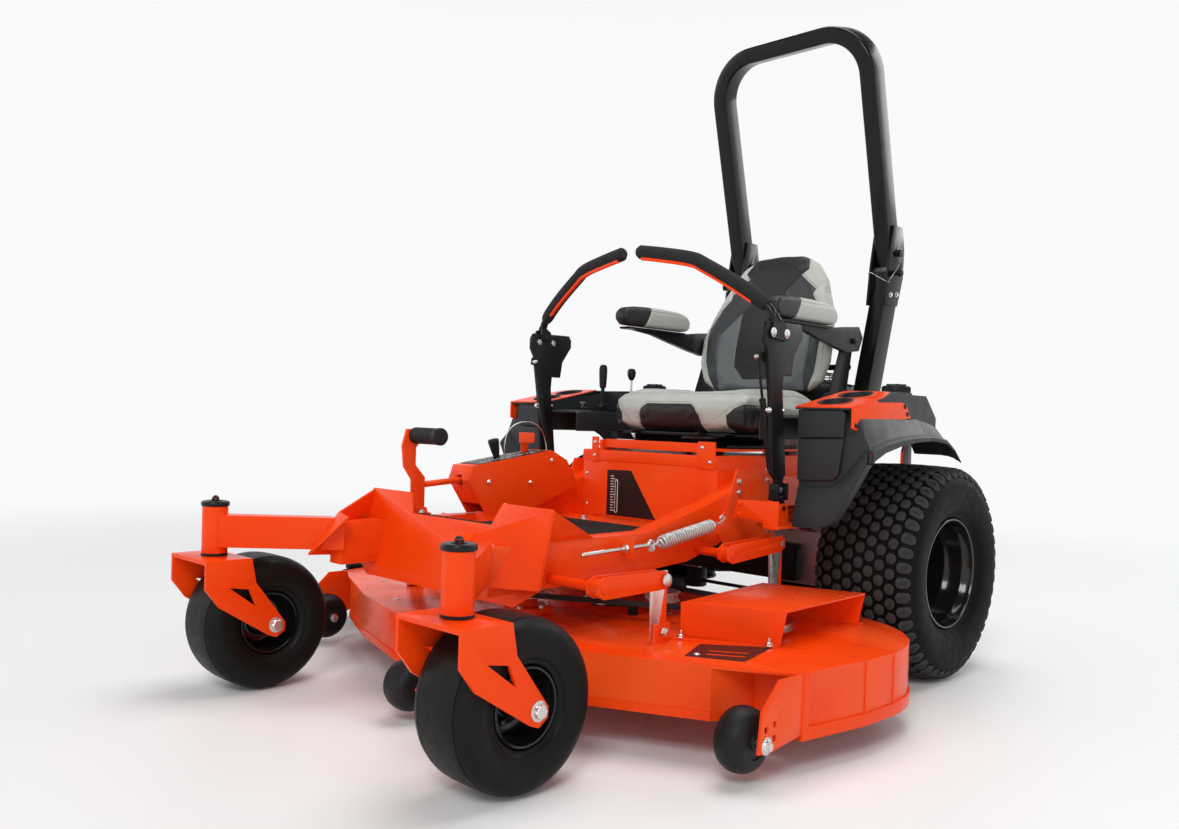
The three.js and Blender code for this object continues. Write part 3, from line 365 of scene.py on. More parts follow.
TREAD = surface("tread_rubber", (0.034, 0.034, 0.033), 0.72, 0.0, 0.25, 14, 0.08, 420, 0.45,
                edge=(0.07, 0.07, 0.07), gloss=0.12)
CASTER_RUBBER = surface("caster_rubber", (0.006, 0.006, 0.006), 0.46, 0.0, 0.2, 7, 0.08, 300, 0.15,
                        gloss=0.15)
FOAM = surface("foam_grip", (0.014, 0.015, 0.016), 0.80, 0.0, 0.2, 12, 0.06, 1400, 0.6, kind="cells")
ZINC = surface("zinc_plate", (0.66, 0.66, 0.63), 0.34, 1.0, 0.1, 14, 0.08, 700, 0.12,
               edge=(0.85, 0.85, 0.83))
SPRING_WIRE = surface("spring_wire", (0.62, 0.63, 0.62), 0.46, 0.75, 0.06, 9, 0.05, 700, 0.08)
STEEL = surface("blade_steel", (0.30, 0.31, 0.32), 0.34, 1.0, 0.15, 8, 0.1, 500, 0.3, stretch=(0.1, 1, 1))
CAST = surface("cast_alloy", (0.42, 0.43, 0.44), 0.46, 1.0, 0.12, 10, 0.1, 500, 0.5, depth=0.001)
THREAD = surface("stitching_thread", (0.03, 0.03, 0.03), 0.75, 0.0, 0.2, 30, 0.05, 3000, 0.4)
LABEL = surface("black_decal", (0.016, 0.014, 0.014), 0.36, 0.0, 0.15, 10, 0.04, 1500, 0.08)
WHITE_PRINT = surface("white_print", (0.80, 0.80, 0.78), 0.45, 0.0, 0.03, 10, 0.04, 1500, 0.08)
RUBBER_MAT = surface("mat_rubber", (0.022, 0.022, 0.023), 0.68, 0.0, 0.2, 8, 0.06, 600, 0.5)
HOSE = surface("hose_rubber", (0.015, 0.015, 0.016), 0.55, 0.0, 0.2, 10, 0.06, 900, 0.3)


# ---- CAD pieces with their edges rounded ----
def softened(node, body, slot, materials, width=1.8, paint=None, segments=2):
    """A copy of a CAD node with its flat faces merged and its edges rounded.
    Paint picks a material by a face's place in millimetres and its normal."""
    bm = bmesh.new()
    bm.from_mesh(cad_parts[node].data)
    bmesh.ops.remove_doubles(bm, verts=bm.verts, dist=2e-5)
    bmesh.ops.dissolve_limit(bm, angle_limit=math.radians(0.6), verts=bm.verts, edges=bm.edges)
    if paint:
        for face in bm.faces:
            face.material_index = paint(face.calc_center_median() * 1000 - OFFSET, face.normal)
    ease_edges(bm, width / 1000, 34, segments)
    name = "finished_" + node
    return finish_piece(name, as_mesh(bm, name), materials, body, (node,), 36)


# ---- Camera, floor and lights ----
CAMERA = {
    "azimuth": 45.0,
    "elevation": 1.1,
    "roll": 1.7,
    "place": Vector((1839.6, -2684.7, 687.8)),
    "lens": 30.99,
    "shift": (0.0208, 0.0170),
}
BACKDROP = (0.95, 0.955, 0.96)
OVERHEAD = 0.12
FLOOR_SIZE = 60
FLOOR_DROP = 0.0008
FLOOR_FADE = (1.3, 5.5)  # metres from the middle
SKY_FADE = (0.34, 0.70)  # from the horizon to overhead
LIGHTS = (
    ("key", (3.0, -4.6, 4.4), (0, 0, 0.5), 2.0, 150),
    ("fill", (-4.5, -3.0, 3.0), (0, 0, 0.6), 3.0, 40),
    ("top", (0.2, 0.6, 5.2), (0, 0, 0), 3.2, 140),
    ("back", (1.5, 5.0, 3.6), (0, 0, 0.8), 2.6, 70),
)


def set_camera():
    azimuth, elevation, roll = (math.radians(CAMERA[k]) for k in ("azimuth", "elevation", "roll"))
    back = Vector((math.sin(azimuth) * math.cos(elevation), -math.cos(azimuth) * math.cos(elevation),
                   math.sin(elevation)))
    level = Vector((math.cos(azimuth), math.sin(azimuth), 0))
    up = back.cross(level)
    right = level * math.cos(roll) + up * math.sin(roll)
    up = up * math.cos(roll) - level * math.sin(roll)
    data = bpy.data.cameras.new("camera")
    data.sensor_width = 36
    data.lens = CAMERA["lens"]
    data.shift_x, data.shift_y = CAMERA["shift"]
    data.clip_end = 100
    camera = bpy.data.objects.new("camera", data)
    turn = Matrix((right, up, back)).transposed().to_4x4()
    camera.matrix_world = Matrix.Translation(TO_ROW @ CAMERA["place"]) @ turn
    scene.collection.objects.link(camera)
    scene.camera = camera


def studio_floor():
    """Pale floor that fades into the backdrop's own brightness away from the machine."""
    material = surface("studio_floor", (0.88, 0.88, 0.88), 0.55, 0.0, 0.006, 0.6, 0.03, 60, 0.01)
    nodes, links = material.node_tree.nodes, material.node_tree.links
    place = nodes.new("ShaderNodeTexCoord").outputs["Object"]
    distance = nodes.new("ShaderNodeVectorMath")
    distance.operation = "LENGTH"
    links.new(place, distance.inputs[0])
    fade = nodes.new("ShaderNodeMapRange")
    fade.interpolation_type = "SMOOTHSTEP"
    set_range(fade, *FLOOR_FADE, 0, 1)
    links.new(distance.outputs["Value"], fade.inputs["Value"])
    glow = nodes.new("ShaderNodeEmission")
    glow.inputs["Color"].default_value = (*BACKDROP, 1)
    glow.inputs["Strength"].default_value = 1.0
    mix = nodes.new("ShaderNodeMixShader")
    links.new(fade.outputs["Result"], mix.inputs[0])
    links.new(nodes["Principled BSDF"].outputs["BSDF"], mix.inputs[1])
    links.new(glow.outputs["Emission"], mix.inputs[2])
    links.new(mix.outputs["Shader"], nodes["Material Output"].inputs["Surface"])
    return material


def studio_world():
    """Backdrop bright round the horizon and dimmer overhead."""
    world = bpy.data.worlds.new("studio")
    world.use_nodes = True
    nodes, links = world.node_tree.nodes, world.node_tree.links
    split = nodes.new("ShaderNodeSeparateXYZ")
    links.new(nodes.new("ShaderNodeTexCoord").outputs["Generated"], split.inputs[0])
    rise = nodes.new("ShaderNodeMapRange")
    rise.interpolation_type = "SMOOTHSTEP"
    set_range(rise, *SKY_FADE, 1, OVERHEAD)
    links.new(split.outputs["Z"], rise.inputs["Value"])
    background = nodes["Background"]
    background.inputs["Color"].default_value = (*BACKDROP, 1)
    links.new(rise.outputs["Result"], background.inputs["Strength"])
    scene.world = world


def set_stage():
    bm = bmesh.new()
    bmesh.ops.create_grid(bm, x_segments=4, y_segments=4, size=FLOOR_SIZE)
    mesh = as_mesh(bm, "floor")
    mesh.materials.append(studio_floor())
    floor = bpy.data.objects.new("floor", mesh)
    floor.location.z = -FLOOR_DROP
    scene.collection.objects.link(floor)
    studio_world()
    for name, place, aim, size, power in LIGHTS:
        data = bpy.data.lights.new(name, "AREA")
        data.size = size
        data.energy = power
        light = bpy.data.objects.new(name, data)
        light.location = place
        light.rotation_euler = (Vector(aim) - Vector(place)).to_track_quat("-Z", "Y").to_euler()
        scene.collection.objects.link(light)
    scene.view_settings.view_transform = "Standard"
    scene.view_settings.look = "None"


set_camera()
set_stage()

# ---- Plain CAD pieces, edges rounded ----
CASTER = Vector((460, -1443, 162))
SCALP_AXLE = Vector((745, -1078, 82))
NOSE_AXLE = Vector((17, -1328, 78))
HANGERS = ((436, -976), (384, -446))  # the deck's straps on the left side
FRONT_TIP, REAR_TIP = 456, 404  # outer ends of the lift arms' pins


def deck_paint(place, normal):
    """Zinc on the rollers' axles and on the hanger straps, orange elsewhere."""
    side = abs(place.x)
    off = Vector((side, place.y, place.z)) - SCALP_AXLE
    axle = place.z < 110 and abs(off.x) < 56 and abs(off.y) < 9 and abs(off.z) < 9
    nose = place.y < -1300 and abs(place.z - NOSE_AXLE.z) < 8 and abs(place.y - NOSE_AXLE.y) < 8.5
    strap = place.z > 240 and any(abs(side - x) < 8 and abs(place.y - y) < 40 for x, y in HANGERS)
    return 1 if axle or nose or strap else 0


def fork_paint(place, normal):
    """Black on the swivel's cap, zinc on the ends of the wheel's axle, orange elsewhere."""
    if place.z > 446:
        return 1
    reach = abs(abs(place.x) - CASTER.x)
    return 2 if reach > 91.5 and abs(place.y - CASTER.y) < 20 and abs(place.z - CASTER.z) < 20 else 0


def pin_paint(tip):
    """Zinc on the end faces of a lift shaft's pins."""
    return lambda place, normal: 1 if abs(normal.x) > 0.9 and abs(abs(place.x) - tip) < 1.5 else 0


def tray_paint(place, normal):
    """Black on the top of the console's tank."""
    return 1 if place.z > 765 else 0


def base_paint(place, normal):
    """Black on the seat base's top behind its front edge."""
    return 1 if place.z > 591 and place.y > -200 else 0


def engine_deck_paint(place, normal):
    """Black on the rear of the engine's deck."""
    return 1 if place.y > 451 else 0


# Node, body, slot, materials, width of the rounding, and where needed the paint and its segments.
PAIRED_NODES = (
    ("frame_rail_", "root", "orange_paint", ORANGE, 1.6),
    ("caster_arm_", "root", "orange_paint", ORANGE, 2.2),
    ("rops_post_", "root", "black_paint", BLACK, 2.4),
    ("console_", "root", "grey_plastic", [PLASTIC, BLACK_PLASTIC], 4.0, tray_paint, 3),
    ("hydro_", "root", "casting", CAST, 4.0),
    ("lever_foot_", "rocker_", "black_paint", SATIN_BLACK, 1.0),
    ("lever_post_", "lever_", "black_paint", SATIN_BLACK, 1.6),
    ("belt_cover_", "deck", "orange_paint", ORANGE, 1.4),
    ("caster_fork_", "caster_yoke_", "orange_paint", [ORANGE, BLACK, ZINC], 1.6, fork_paint),
)
SINGLE_NODES = (
    ("foot_platform", "root", "orange_paint", ORANGE, 1.6),
    ("seat_base", "root", "orange_paint", [ORANGE, BLACK_PLASTIC], 1.4, base_paint),
    ("engine_deck", "root", "orange_paint", [ORANGE, BLACK], 1.6, engine_deck_paint),
    ("seat_pan", "seat", "orange_paint", ORANGE, 1.4),
    ("deck_shell", "deck", "orange_paint", [ORANGE, ZINC], 1.6, deck_paint),
    ("discharge_chute", "chute", "black_plastic", BLACK_PLASTIC, 2.0),
    ("lift_shaft_front", "lift_front", "orange_paint", [ORANGE, ZINC], 1.4, pin_paint(FRONT_TIP)),
    ("lift_shaft_rear", "lift_rear", "orange_paint", [ORANGE, ZINC], 1.4, pin_paint(REAR_TIP)),
    ("pedal_lever", "pedal", "orange_paint", ORANGE, 1.6),
    ("push_rod", "pedal_rod", "orange_paint", ORANGE, 1.2),
)
for side, _ in SIDES:
    for node, body, *finish in PAIRED_NODES:
        softened(node + side, sided(body, side), *finish)
for row in SINGLE_NODES:
    softened(*row)
for word in ("left", "centre", "right"):
    softened("spindle_" + word, "cutter_" + word, "zinc", ZINC, 1.0)
    softened("blade_" + word, "cutter_" + word, "blade_steel", STEEL, 0.8)


# ---- Drive wheels ----
DRIVE = Vector((526, 0, 290))
CROWN = 282.5
BLOCK_COLUMNS, BLOCKS_AROUND = 9, 46
BLOCK_PITCH, BLOCK_HEIGHT = 29.5, 7.4


def both_walls(half):
    """A tyre's profile from the half that ends on its middle line."""
    return half + [(r, -x) for r, x in half[-2::-1]]


def crown_radius(x):
    """Radius of the drive tyre's crown at a distance from its middle line."""
    reach = abs(x)
    return CROWN - 3.5 * (reach / 115) ** 2 - 34 * max(0, (reach - 112) / 33) ** 2


def drive_tyre(bm):
    """Carcass with bead, rim guard, bulging wall and rounded shoulder, then rows of sculpted turf blocks."""
    wall = [(153, 118), (158, 121.5), (164, 123), (169, 129), (173, 134), (177, 135), (181, 137.5),
            (200, 141.5), (220, 143.6), (236, 143), (246, 140.5), (254, 136)]
    tread = [(crown_radius(x), x) for x in (128, 118, 105, 90, 70, 50, 25, 0)]
    lathe(bm, DRIVE, LEFT, both_walls(wall + tread), 96, closed=True)
    hexagon = [(-11.6, -6), (-8.6, -12.4), (-2, -15.2), (6, -14.7), (11.6, -8.6), (12.0, 0)]
    half_low = hexagon + [(3.2, 2.6), (-3.2, -3.4), (-11.9, -0.6)]
    carcass = len(bm.faces)
    for column in range(BLOCK_COLUMNS):
        middle = (column - (BLOCK_COLUMNS - 1) / 2) * BLOCK_PITCH
        outermost = column in (0, BLOCK_COLUMNS - 1)
        for step in range(BLOCKS_AROUND):
            turn = 2 * math.pi * (step + (0.5 if column % 2 else 0)) / BLOCKS_AROUND
            for flip in (1, -1):
                outline = [(u * flip, v * flip + flip * 1.4) for u, v in half_low]
                if outermost:
                    lean = 1 if middle > 0 else -1
                    outline = [(u + lean * 5 if u * lean > 0 else u, v) for u, v in outline]
                loops = []
                for inset, lift in ((0, -1.5), (0, BLOCK_HEIGHT - 1.6), (0.14, BLOCK_HEIGHT)):
                    loop = []
                    for u, v in outline:
                        u, v = u * (1 - inset), (v - flip * 6.5) * (1 - inset) + flip * 6.5
                        x = middle + u
                        radius = crown_radius(x) + lift * (0.55 if abs(x) > 132 else 1)
                        angle = turn + v / CROWN
                        place = Vector((x, -radius * math.cos(angle), radius * math.sin(angle)))
                        loop.append(bm.verts.new(DRIVE + place))
                    loops.append(loop)
                bridge(bm, loops[0], loops[1])
                bridge(bm, loops[1], loops[2])
                bm.faces.new(loops[0][::-1])
                bm.faces.new(loops[2])
    bm.faces.ensure_lookup_table()
    for face in bm.faces[carcass:]:
        face.material_index = 1


def drive_rim(bm):
    """Pressed steel wheel: rolled lips, stepped well, dished web with hub, wheel bolts and a valve."""
    edge = 151.6
    profile = [(edge - 1, 119), (edge - 4, 121.5), (edge - 8, 121), (edge - 10, 116), (edge - 10.5, 106),
               (edge - 16, 98), (edge - 19, 88), (edge - 19, 62), (edge - 27, 50), (edge - 30, 40),
               (edge - 30, 4), (edge - 34, -6), (126 - 16, -12), (96, -14), (90, -11), (78, -8), (74, -14),
               (40, -16), (36, -16), (36, -22), (92, -20), (112, -18), (edge - 26, -14), (edge - 26, -60),
               (edge - 14, -78), (edge - 14, -98), (edge - 6, -106), (edge - 5, -116), (edge - 2, -121),
               (edge, -116), (edge, 116)]
    lathe(bm, DRIVE, LEFT, profile, 72, closed=True)
    rod(bm, DRIVE + Vector((-180, 0, 0)), DRIVE + Vector((-22, 0, 0)), 19.6, 32)
    lathe(bm, DRIVE, LEFT, [(0, -34), (73, -34), (74, -32), (74, -22), (30, -22), (38, -21), (38, -6),
                            (35, -3), (14, -3), (12, -5), (0, -5)], 40)
    for c, s in spokes(5):
        spot = DRIVE + Vector((-16, 57 * c, 57 * s))
        lathe(bm, spot, LEFT, [(13, 0), (13, 3), (11, 4), (11, 13), (8, 15), (6.5, 15), (6.5, 20), (5, 21),
                               (0, 21)], 6)
    tube(bm, [DRIVE + Vector((20, 0, 120)), DRIVE + Vector((34, 0, 112)), DRIVE + Vector((52, 0, 106))], 4.2,
         10, 4)


add_pair("drive_tyre_tread", drive_tyre, [TYRE, TREAD], "drive_wheel_", ["drive_tyre_"],
         smooth=42)
add_pair("drive_wheel_pressing", drive_rim, RIM_BLACK, "drive_wheel_", ["drive_rim_"])


# ---- Casters ----
def caster_tyre(bm):
    """Smooth tyre with a bead, a rim guard and a fine line round its shoulder."""
    half = [(76.6, 58.5), (79, 62), (83, 63), (87, 66), (90, 70.5), (93, 71), (97, 73.5), (106, 77),
            (120, 79.4), (132, 79.2), (142, 76.5), (150, 71), (155.6, 63), (158.6, 55), (159.4, 52),
            (158.2, 50.8), (158.6, 49.2), (160.4, 48.6), (161.4, 38), (161.9, 20), (162, 0)]
    lathe(bm, CASTER, LEFT, both_walls(half), 96, closed=True)


def caster_rim(bm):
    """Pressed rim with its hub, screws and valve."""
    edge = 75.6
    half = [(edge, 56), (edge - 0.5, 61), (edge - 3, 63.5), (edge - 6.5, 62.5), (edge - 8, 57),
            (edge - 10, 50), (edge - 13, 46), (edge - 15, 36), (edge - 15, 20), (edge - 19, 12), (52, 7),
            (40, 5), (34, 7), (30, 11), (26, 12), (25, 16), (25, 80), (23.5, 82), (10, 82)]
    profile = half + [(r, -x) for r, x in half[::-1]]
    lathe(bm, CASTER, LEFT, profile, 64, closed=True)
    tube(bm, [CASTER + Vector((24, 0, 54)), CASTER + Vector((34, 0, 52)), CASTER + Vector((48, 0, 50))], 3.6,
         10, 4)
    for c, s in spokes(5, 0.5):
        spot = CASTER + Vector((6, 40 * c, 40 * s))
        lathe(bm, spot, LEFT, [(7, -2), (7, 6), (5.5, 7.5), (0, 7.5)], 6)


def caster_bolts(bm):
    """Washer and nut at both ends of the caster's axle."""
    for x in (92, -92):
        way = (math.copysign(1, x), 0, 0)
        spot = CASTER + Vector((x, 0, 0))
        lathe(bm, spot, way, [(19, 0), (19, 2.2), (17.5, 3), (0, 3)], 28)
        lathe(bm, spot + Vector(way) * 2.5, way, [(14.2, 0), (14.2, 7), (12.5, 8.6), (0, 9)], 6)


def caster_cap(bm):
    """Rolled black dust cap with a raised ring over the head tube."""
    place = Vector((460, -1559, 0))
    lathe(bm, place, UP, [(31.6, 446.6), (33, 448), (33, 455), (31, 458), (25, 459.4), (20, 458.6),
                          (0, 458.6), (0, 446.6)], 48)
    lathe(bm, place, UP, [(15, 457.7), (15, 459.6), (13.5, 460.2), (0, 460.2)], 28)
    lathe(bm, place, UP, [(9.6, 459.5), (9.6, 465), (7.5, 468.5), (4, 471), (0, 472)], 6)
    lathe(bm, place, UP, [(30.2, 328.6), (31.2, 329.4), (31.2, 334), (30.2, 335)], 48)


add_pair("caster_tyre_smooth", caster_tyre, CASTER_RUBBER, "caster_wheel_", ["caster_tyre_"])
add_pair("caster_wheel_pressing", caster_rim, RIM_BLACK, "caster_wheel_", ["caster_rim_"])
add_pair("caster_bolts", caster_bolts, ZINC, "caster_yoke_")
add_pair("caster_cap", caster_cap, SATIN_BLACK, "caster_yoke_")


# ---- Anti-scalp rollers ----
def roller(place, radius, half):
    """A function that draws a barrel-shaped roller with hollowed ends."""
    def draw(bm):
        turns = [math.pi / 2 * i / 9 for i in range(10)]
        arc = [(radius * (0.60 + 0.40 * math.cos(t) ** 0.8), half * math.sin(t) ** 1.1) for t in turns]
        side = [(radius * 0.52, half - 0.2), (radius * 0.5, half - 4), (radius * 0.24, half - 4),
                (radius * 0.22, half), (9, half)]
        outer = arc + side
        profile = [(r, x) for r, x in outer[::-1]] + [(r, -x) for r, x in outer[1:]]
        lathe(bm, place, LEFT, profile, 56, closed=True)
    return draw


add_pair("scalp_roller", roller(SCALP_AXLE - Vector((12, 0, 0)), 64, 33), BLACK_PLASTIC, "scalp_wheel_",
         ["antiscalp_"])
add("scalp_roller_centre", roller(NOSE_AXLE, 58, 38), BLACK_PLASTIC, "scalp_wheel_centre",
    ["antiscalp_centre"])


# ---- Roll bar ----
HOOP_LEAN = math.radians(14.6)
PIVOT_Y, PIVOT_Z = 299, 1225
LOCK_Y, LOCK_Z = 272, 1160


def lean_point(x, y, z):
    """A point of the upright hoop, given from its pivot pin, leant forward with it."""
    c, s = math.cos(HOOP_LEAN), math.sin(HOOP_LEAN)
    return Vector((x, PIVOT_Y + y * c - z * s, PIVOT_Z + y * s + z * c))


HOOP_RISE = 701 / math.cos(0.255) - 8  # from the pin, measured along the lean
HOOP_BEND = 140


def hoop_path(steps=20):
    """Middle line of the hoop's tube as (x, height above the pin)."""
    x, bend_z = 273, HOOP_RISE - 25 - HOOP_BEND
    turns = [math.pi / 2 * i / steps for i in range(1, steps + 1)]
    left = [(x, z) for z in (-36, 100, 300, bend_z)]
    left += [(x - HOOP_BEND + HOOP_BEND * math.cos(t), bend_z + HOOP_BEND * math.sin(t)) for t in turns]
    return left + [(-x, z) for x, z in left[::-1]]


def rops_hoop(bm):
    """Bent rectangular tube."""
    path = [lean_point(x, 0, z) for x, z in hoop_path()]
    section = rounded(25, 37.6, 9)
    sweep(bm, path, section, hint=lean_point(0, 1, 0) - lean_point(0, 0, 0))


add("rops_hoop_tube", rops_hoop, BLACK, "roll_hoop", ["rops_hoop"])


def hitch_pins(bm):
    """Locking pin and pivot bolt through each hinge of the roll bar."""
    rod(bm, (305.6, LOCK_Y, LOCK_Z), (326, LOCK_Y, LOCK_Z), 8, 20)
    lathe(bm, (326, LOCK_Y, LOCK_Z), LEFT, [(8, 0), (12, 1), (13, 6), (12, 11), (8, 13), (0, 13)], 24)
    tube(bm, [(330, 272, 1172), (334, 270, 1184), (334, 268, 1190)], 2.4, 8, 4)
    rod(bm, (240.5, LOCK_Y, LOCK_Z), (230, LOCK_Y, LOCK_Z), 8, 20)
    lathe(bm, (305.5, PIVOT_Y, PIVOT_Z), LEFT, [(14, 0), (14, 2), (12, 3), (12, 12), (10, 14), (0, 14)], 6)
    nut = [(14, 0), (14, 2), (12, 3), (12, 10), (10, 12), (0, 12)]
    lathe(bm, (240.6, PIVOT_Y, PIVOT_Z), (-1, 0, 0), nut, 6)


def hair_pins(bm):
    """Hairpin through the locking pin, and its wire lanyard in two lengths."""
    pin = [(234, 255, 1160), (233.6, 268, 1157), (233.4, 290, 1158), (233.4, 304, 1166),
           (233.4, 296, 1173), (233.6, 280, 1168), (234, 262, 1166)]
    upper = [(334, 266, 1190), (330, 256, 1172), (322, 244, 1150), (312, 243, 1136), (307, 250, 1130)]
    lower = [(307, 250, 1130), (300, 236, 1134), (280, 230, 1146), (258, 230, 1160), (240, 242, 1164),
             (234, 255, 1160)]
    tube(bm, pin, 1.6, 8, 6)
    tube(bm, upper, 0.9, 6, 8)
    tube(bm, lower, 0.9, 6, 8)


add_pair("rops_lock_pins", hitch_pins, SATIN_BLACK, "root")
add_pair("rops_hair_pins", hair_pins, ZINC, "root")


def post_bolts(bm):
    """Bolts of the post's foot and of its hinge plate."""
    for y in (76, 172):
        for x in (236, 308):
            bolt(bm, (x, y, 551.3), UP, 9)
    for y, z in ((262, 1092), (300, 1096)):
        bolt(bm, (305.4, y, z), LEFT, 8)


add_pair("post_bolts", post_bolts, ZINC, "root")


# ---- Counter spring ----
SPRING_X = 325


def lift_spring(bm):
    """Close-wound spring with a hook at each end."""
    start, end = Vector((SPRING_X, -850, 394.2)), Vector((SPRING_X, -640, 426))
    along = (end - start).normalized()
    u, v = frame_at(along)
    turns, steps, radius = 24, 20, 14.0
    last = turns * steps
    helix = []
    for i in range(last + 1):
        angle = 2 * math.pi * i / steps
        taper = min(1, 0.45 + 0.55 * min(i, last - i) / (1.5 * steps))
        out = (u * math.cos(angle) + v * math.sin(angle)) * radius * taper
        helix.append(start + (end - start) * (i / last) + out)
    sweep(bm, helix, circle(2.9, 8))
    tube(bm, [end + v * 5, end + along * 14, end + along * 34, end + along * 46 + v * 8,
              end + along * 38 + v * 15, end + along * 28 + v * 10], 3.2, 10, 6)
    eye = start - along * 26
    tube(bm, [start + v * 5, start - along * 10, eye + v * 1, eye - along * 8 - v * 8,
              eye + along * 2 - v * 12, eye + along * 10 - v * 6], 3.0, 10, 6)


def draw_rod(bm):
    """Threaded draw rod with its eye, nuts and washers either side of the rail's tab."""
    a, b = Vector((SPRING_X, -1110, 386)), Vector((SPRING_X, -884, 393.2))
    along = (b - a).normalized()
    rod(bm, a, b, 4.6, 20)
    for i in range(26):
        place = a + along * (6 + i * 2.6)
        lathe(bm, place, along, [(4.7, 0), (5.1, 0.8), (4.7, 1.6)], 16)
    tab = Vector((SPRING_X, -963, 390.7))
    for offset, foot in ((-13, 0), (4, 0.5)):
        lathe(bm, tab + along * offset, along, [(9.4, foot), (9.4, 8.5), (8, 9)], 6)
    lathe(bm, tab - along * 4.3, along, [(11.5, 0), (11.5, 1.2)], 24)
    loop = [b + along * 6 + Vector(UP) * 9 * math.sin(t) + along * 9 * (1 - math.cos(t)) - along * 8
            for t in [2 * math.pi * i / 16 for i in range(15)]]
    tube(bm, loop, 3.6, 10, 0)


add("lift_spring_coil", lift_spring, SPRING_WIRE, "root", ["lift_spring"])
add("spring_draw_rod", draw_rod, ZINC, "root")


# ---- Steering levers ----
PLATE_Y, PLATE_Z = -530, 907
LEVER_BENDS = [(416, -538, 929), (402, -542, 969), (330, -560, 1025), (232, -581, 1084),
               (190, -590, 1104), (100, -602, 1122), (24, -612, 1134)]
LEVER_PATH = smooth_path(LEVER_BENDS, 8)
BAR = LEVER_PATH[:34]
GRIP = LEVER_PATH[9:]
STRIP = LEVER_PATH[13:-2]


def lever_bar(bm):
    """Bent bar and the two plates that clamp it to its post."""
    sweep(bm, BAR, circle(11.2, 20))
    prism(bm, "x", [(-566, 893), (-498, 889), (-500, 925), (-526, 947), (-556, 943)], 423.3, 429)
    rod(bm, (426, -538, 933), (416, -539, 953), 10.5, 20)
    prism(bm, "x", [(-556, 915), (-512, 913), (-514, 938), (-534, 950), (-550, 946)], 404, 410.6)


def lever_grip(bm):
    """Foam sleeve with a rounded end over the upper bar."""
    def section(t):
        swell = min(1, 0.86 + t * 4) * (1 - 0.35 * max(0, (t - 0.985) / 0.015) ** 2)
        return [(u, v * 1.1) for u, v in circle(17.2 * swell, 24)]

    sweep(bm, GRIP, section)


def lever_strip(bm):
    """Orange insert along the underside of the grip."""
    sweep(bm, [p + Vector((0, -6.5, -15.5)) for p in STRIP], rounded(4.6, 7.0, 2.8, 2))


def lever_bolts(bm):
    """Through bolts of the bar's plates with their nuts, and the foot's pivot cap."""
    for dy in (-30, 29):
        lathe(bm, (429, PLATE_Y + dy, PLATE_Z), LEFT, [(11.5, 0), (11.5, 1.6), (9.8, 2)], 28)
        dome(bm, (430.5, PLATE_Y + dy, PLATE_Z), LEFT, 9.6, 5.5, 24)
        lathe(bm, (411, PLATE_Y + dy, PLATE_Z), (-1, 0, 0), [(9.4, 0), (9.4, 6), (8, 7.2), (0, 7.4)], 6)
    lathe(bm, (423.2, -500, 516), LEFT, [(7, 0), (7, 3), (0, 3.4)], 20)


DAMPER_LOW, DAMPER_HIGH = Vector((401, -514, 566)), Vector((401, -582, 846))


def damper(bm):
    """Slim gas damper standing along the inner side of the post."""
    along = (DAMPER_HIGH - DAMPER_LOW).normalized()
    neck = DAMPER_LOW + along * 178
    rod(bm, DAMPER_LOW, neck, 7.8, 24)
    rod(bm, neck - along * 3, DAMPER_HIGH, 3.6, 16)
    lathe(bm, neck - along * 4, along, [(7.8, 0), (8.8, 1), (8.8, 7), (7, 9), (3.6, 9)], 24)
    prism(bm, "x", [(-590, 838), (-560, 832), (-556, 856), (-588, 858)], 407, 411)


def damper_ends(bm):
    """Pins at the damper's ends, and the stop screws before and behind the post."""
    for place in (DAMPER_LOW, DAMPER_HIGH):
        rod(bm, place - Vector((6, 0, 0)), place + Vector((9.8, 0, 0)), 6, 20)
        dome(bm, place - Vector((6, 0, 0)), (-1, 0, 0), 6, 4)
    for y, way in ((-549, -1), (-499, 1)):
        screw = [(7.6, 0), (7.6, 1.6), (6, 2), (6, 9), (4.6, 10), (0, 10.4)]
        lathe(bm, (417, y, 715), (0, way, 0), screw, 6)


add_pair("lever_bar", lever_bar, SATIN_BLACK, "lever_", ["lever_handle_"], edge=0)
add_pair("lever_grip", lever_grip, FOAM, "lever_")
add_pair("lever_strip", lever_strip, ORANGE, "lever_")
add_pair("lever_bolts", lever_bolts, ZINC, "lever_")
add_pair("lever_damper", damper, SATIN_BLACK, "lever_")
add_pair("damper_ends", damper_ends, ZINC, "lever_")


# ---- Upholstery ----
def inside(polygon, u, v):
    """Distance inside a convex polygon whose points go anticlockwise; negative outside."""
    reach = 1e9
    for (u0, v0), (u1, v1) in zip(polygon, polygon[1:] + polygon[:1]):
        length = math.hypot(u1 - u0, v1 - v0)
        reach = min(reach, ((u1 - u0) * (v - v0) - (v1 - v0) * (u - u0)) / length)
    return reach


def both_sides(half):
    """A symmetrical outline from its right half, going anticlockwise from the bottom."""
    return half + [(-u, v) for u, v in reversed(half)]


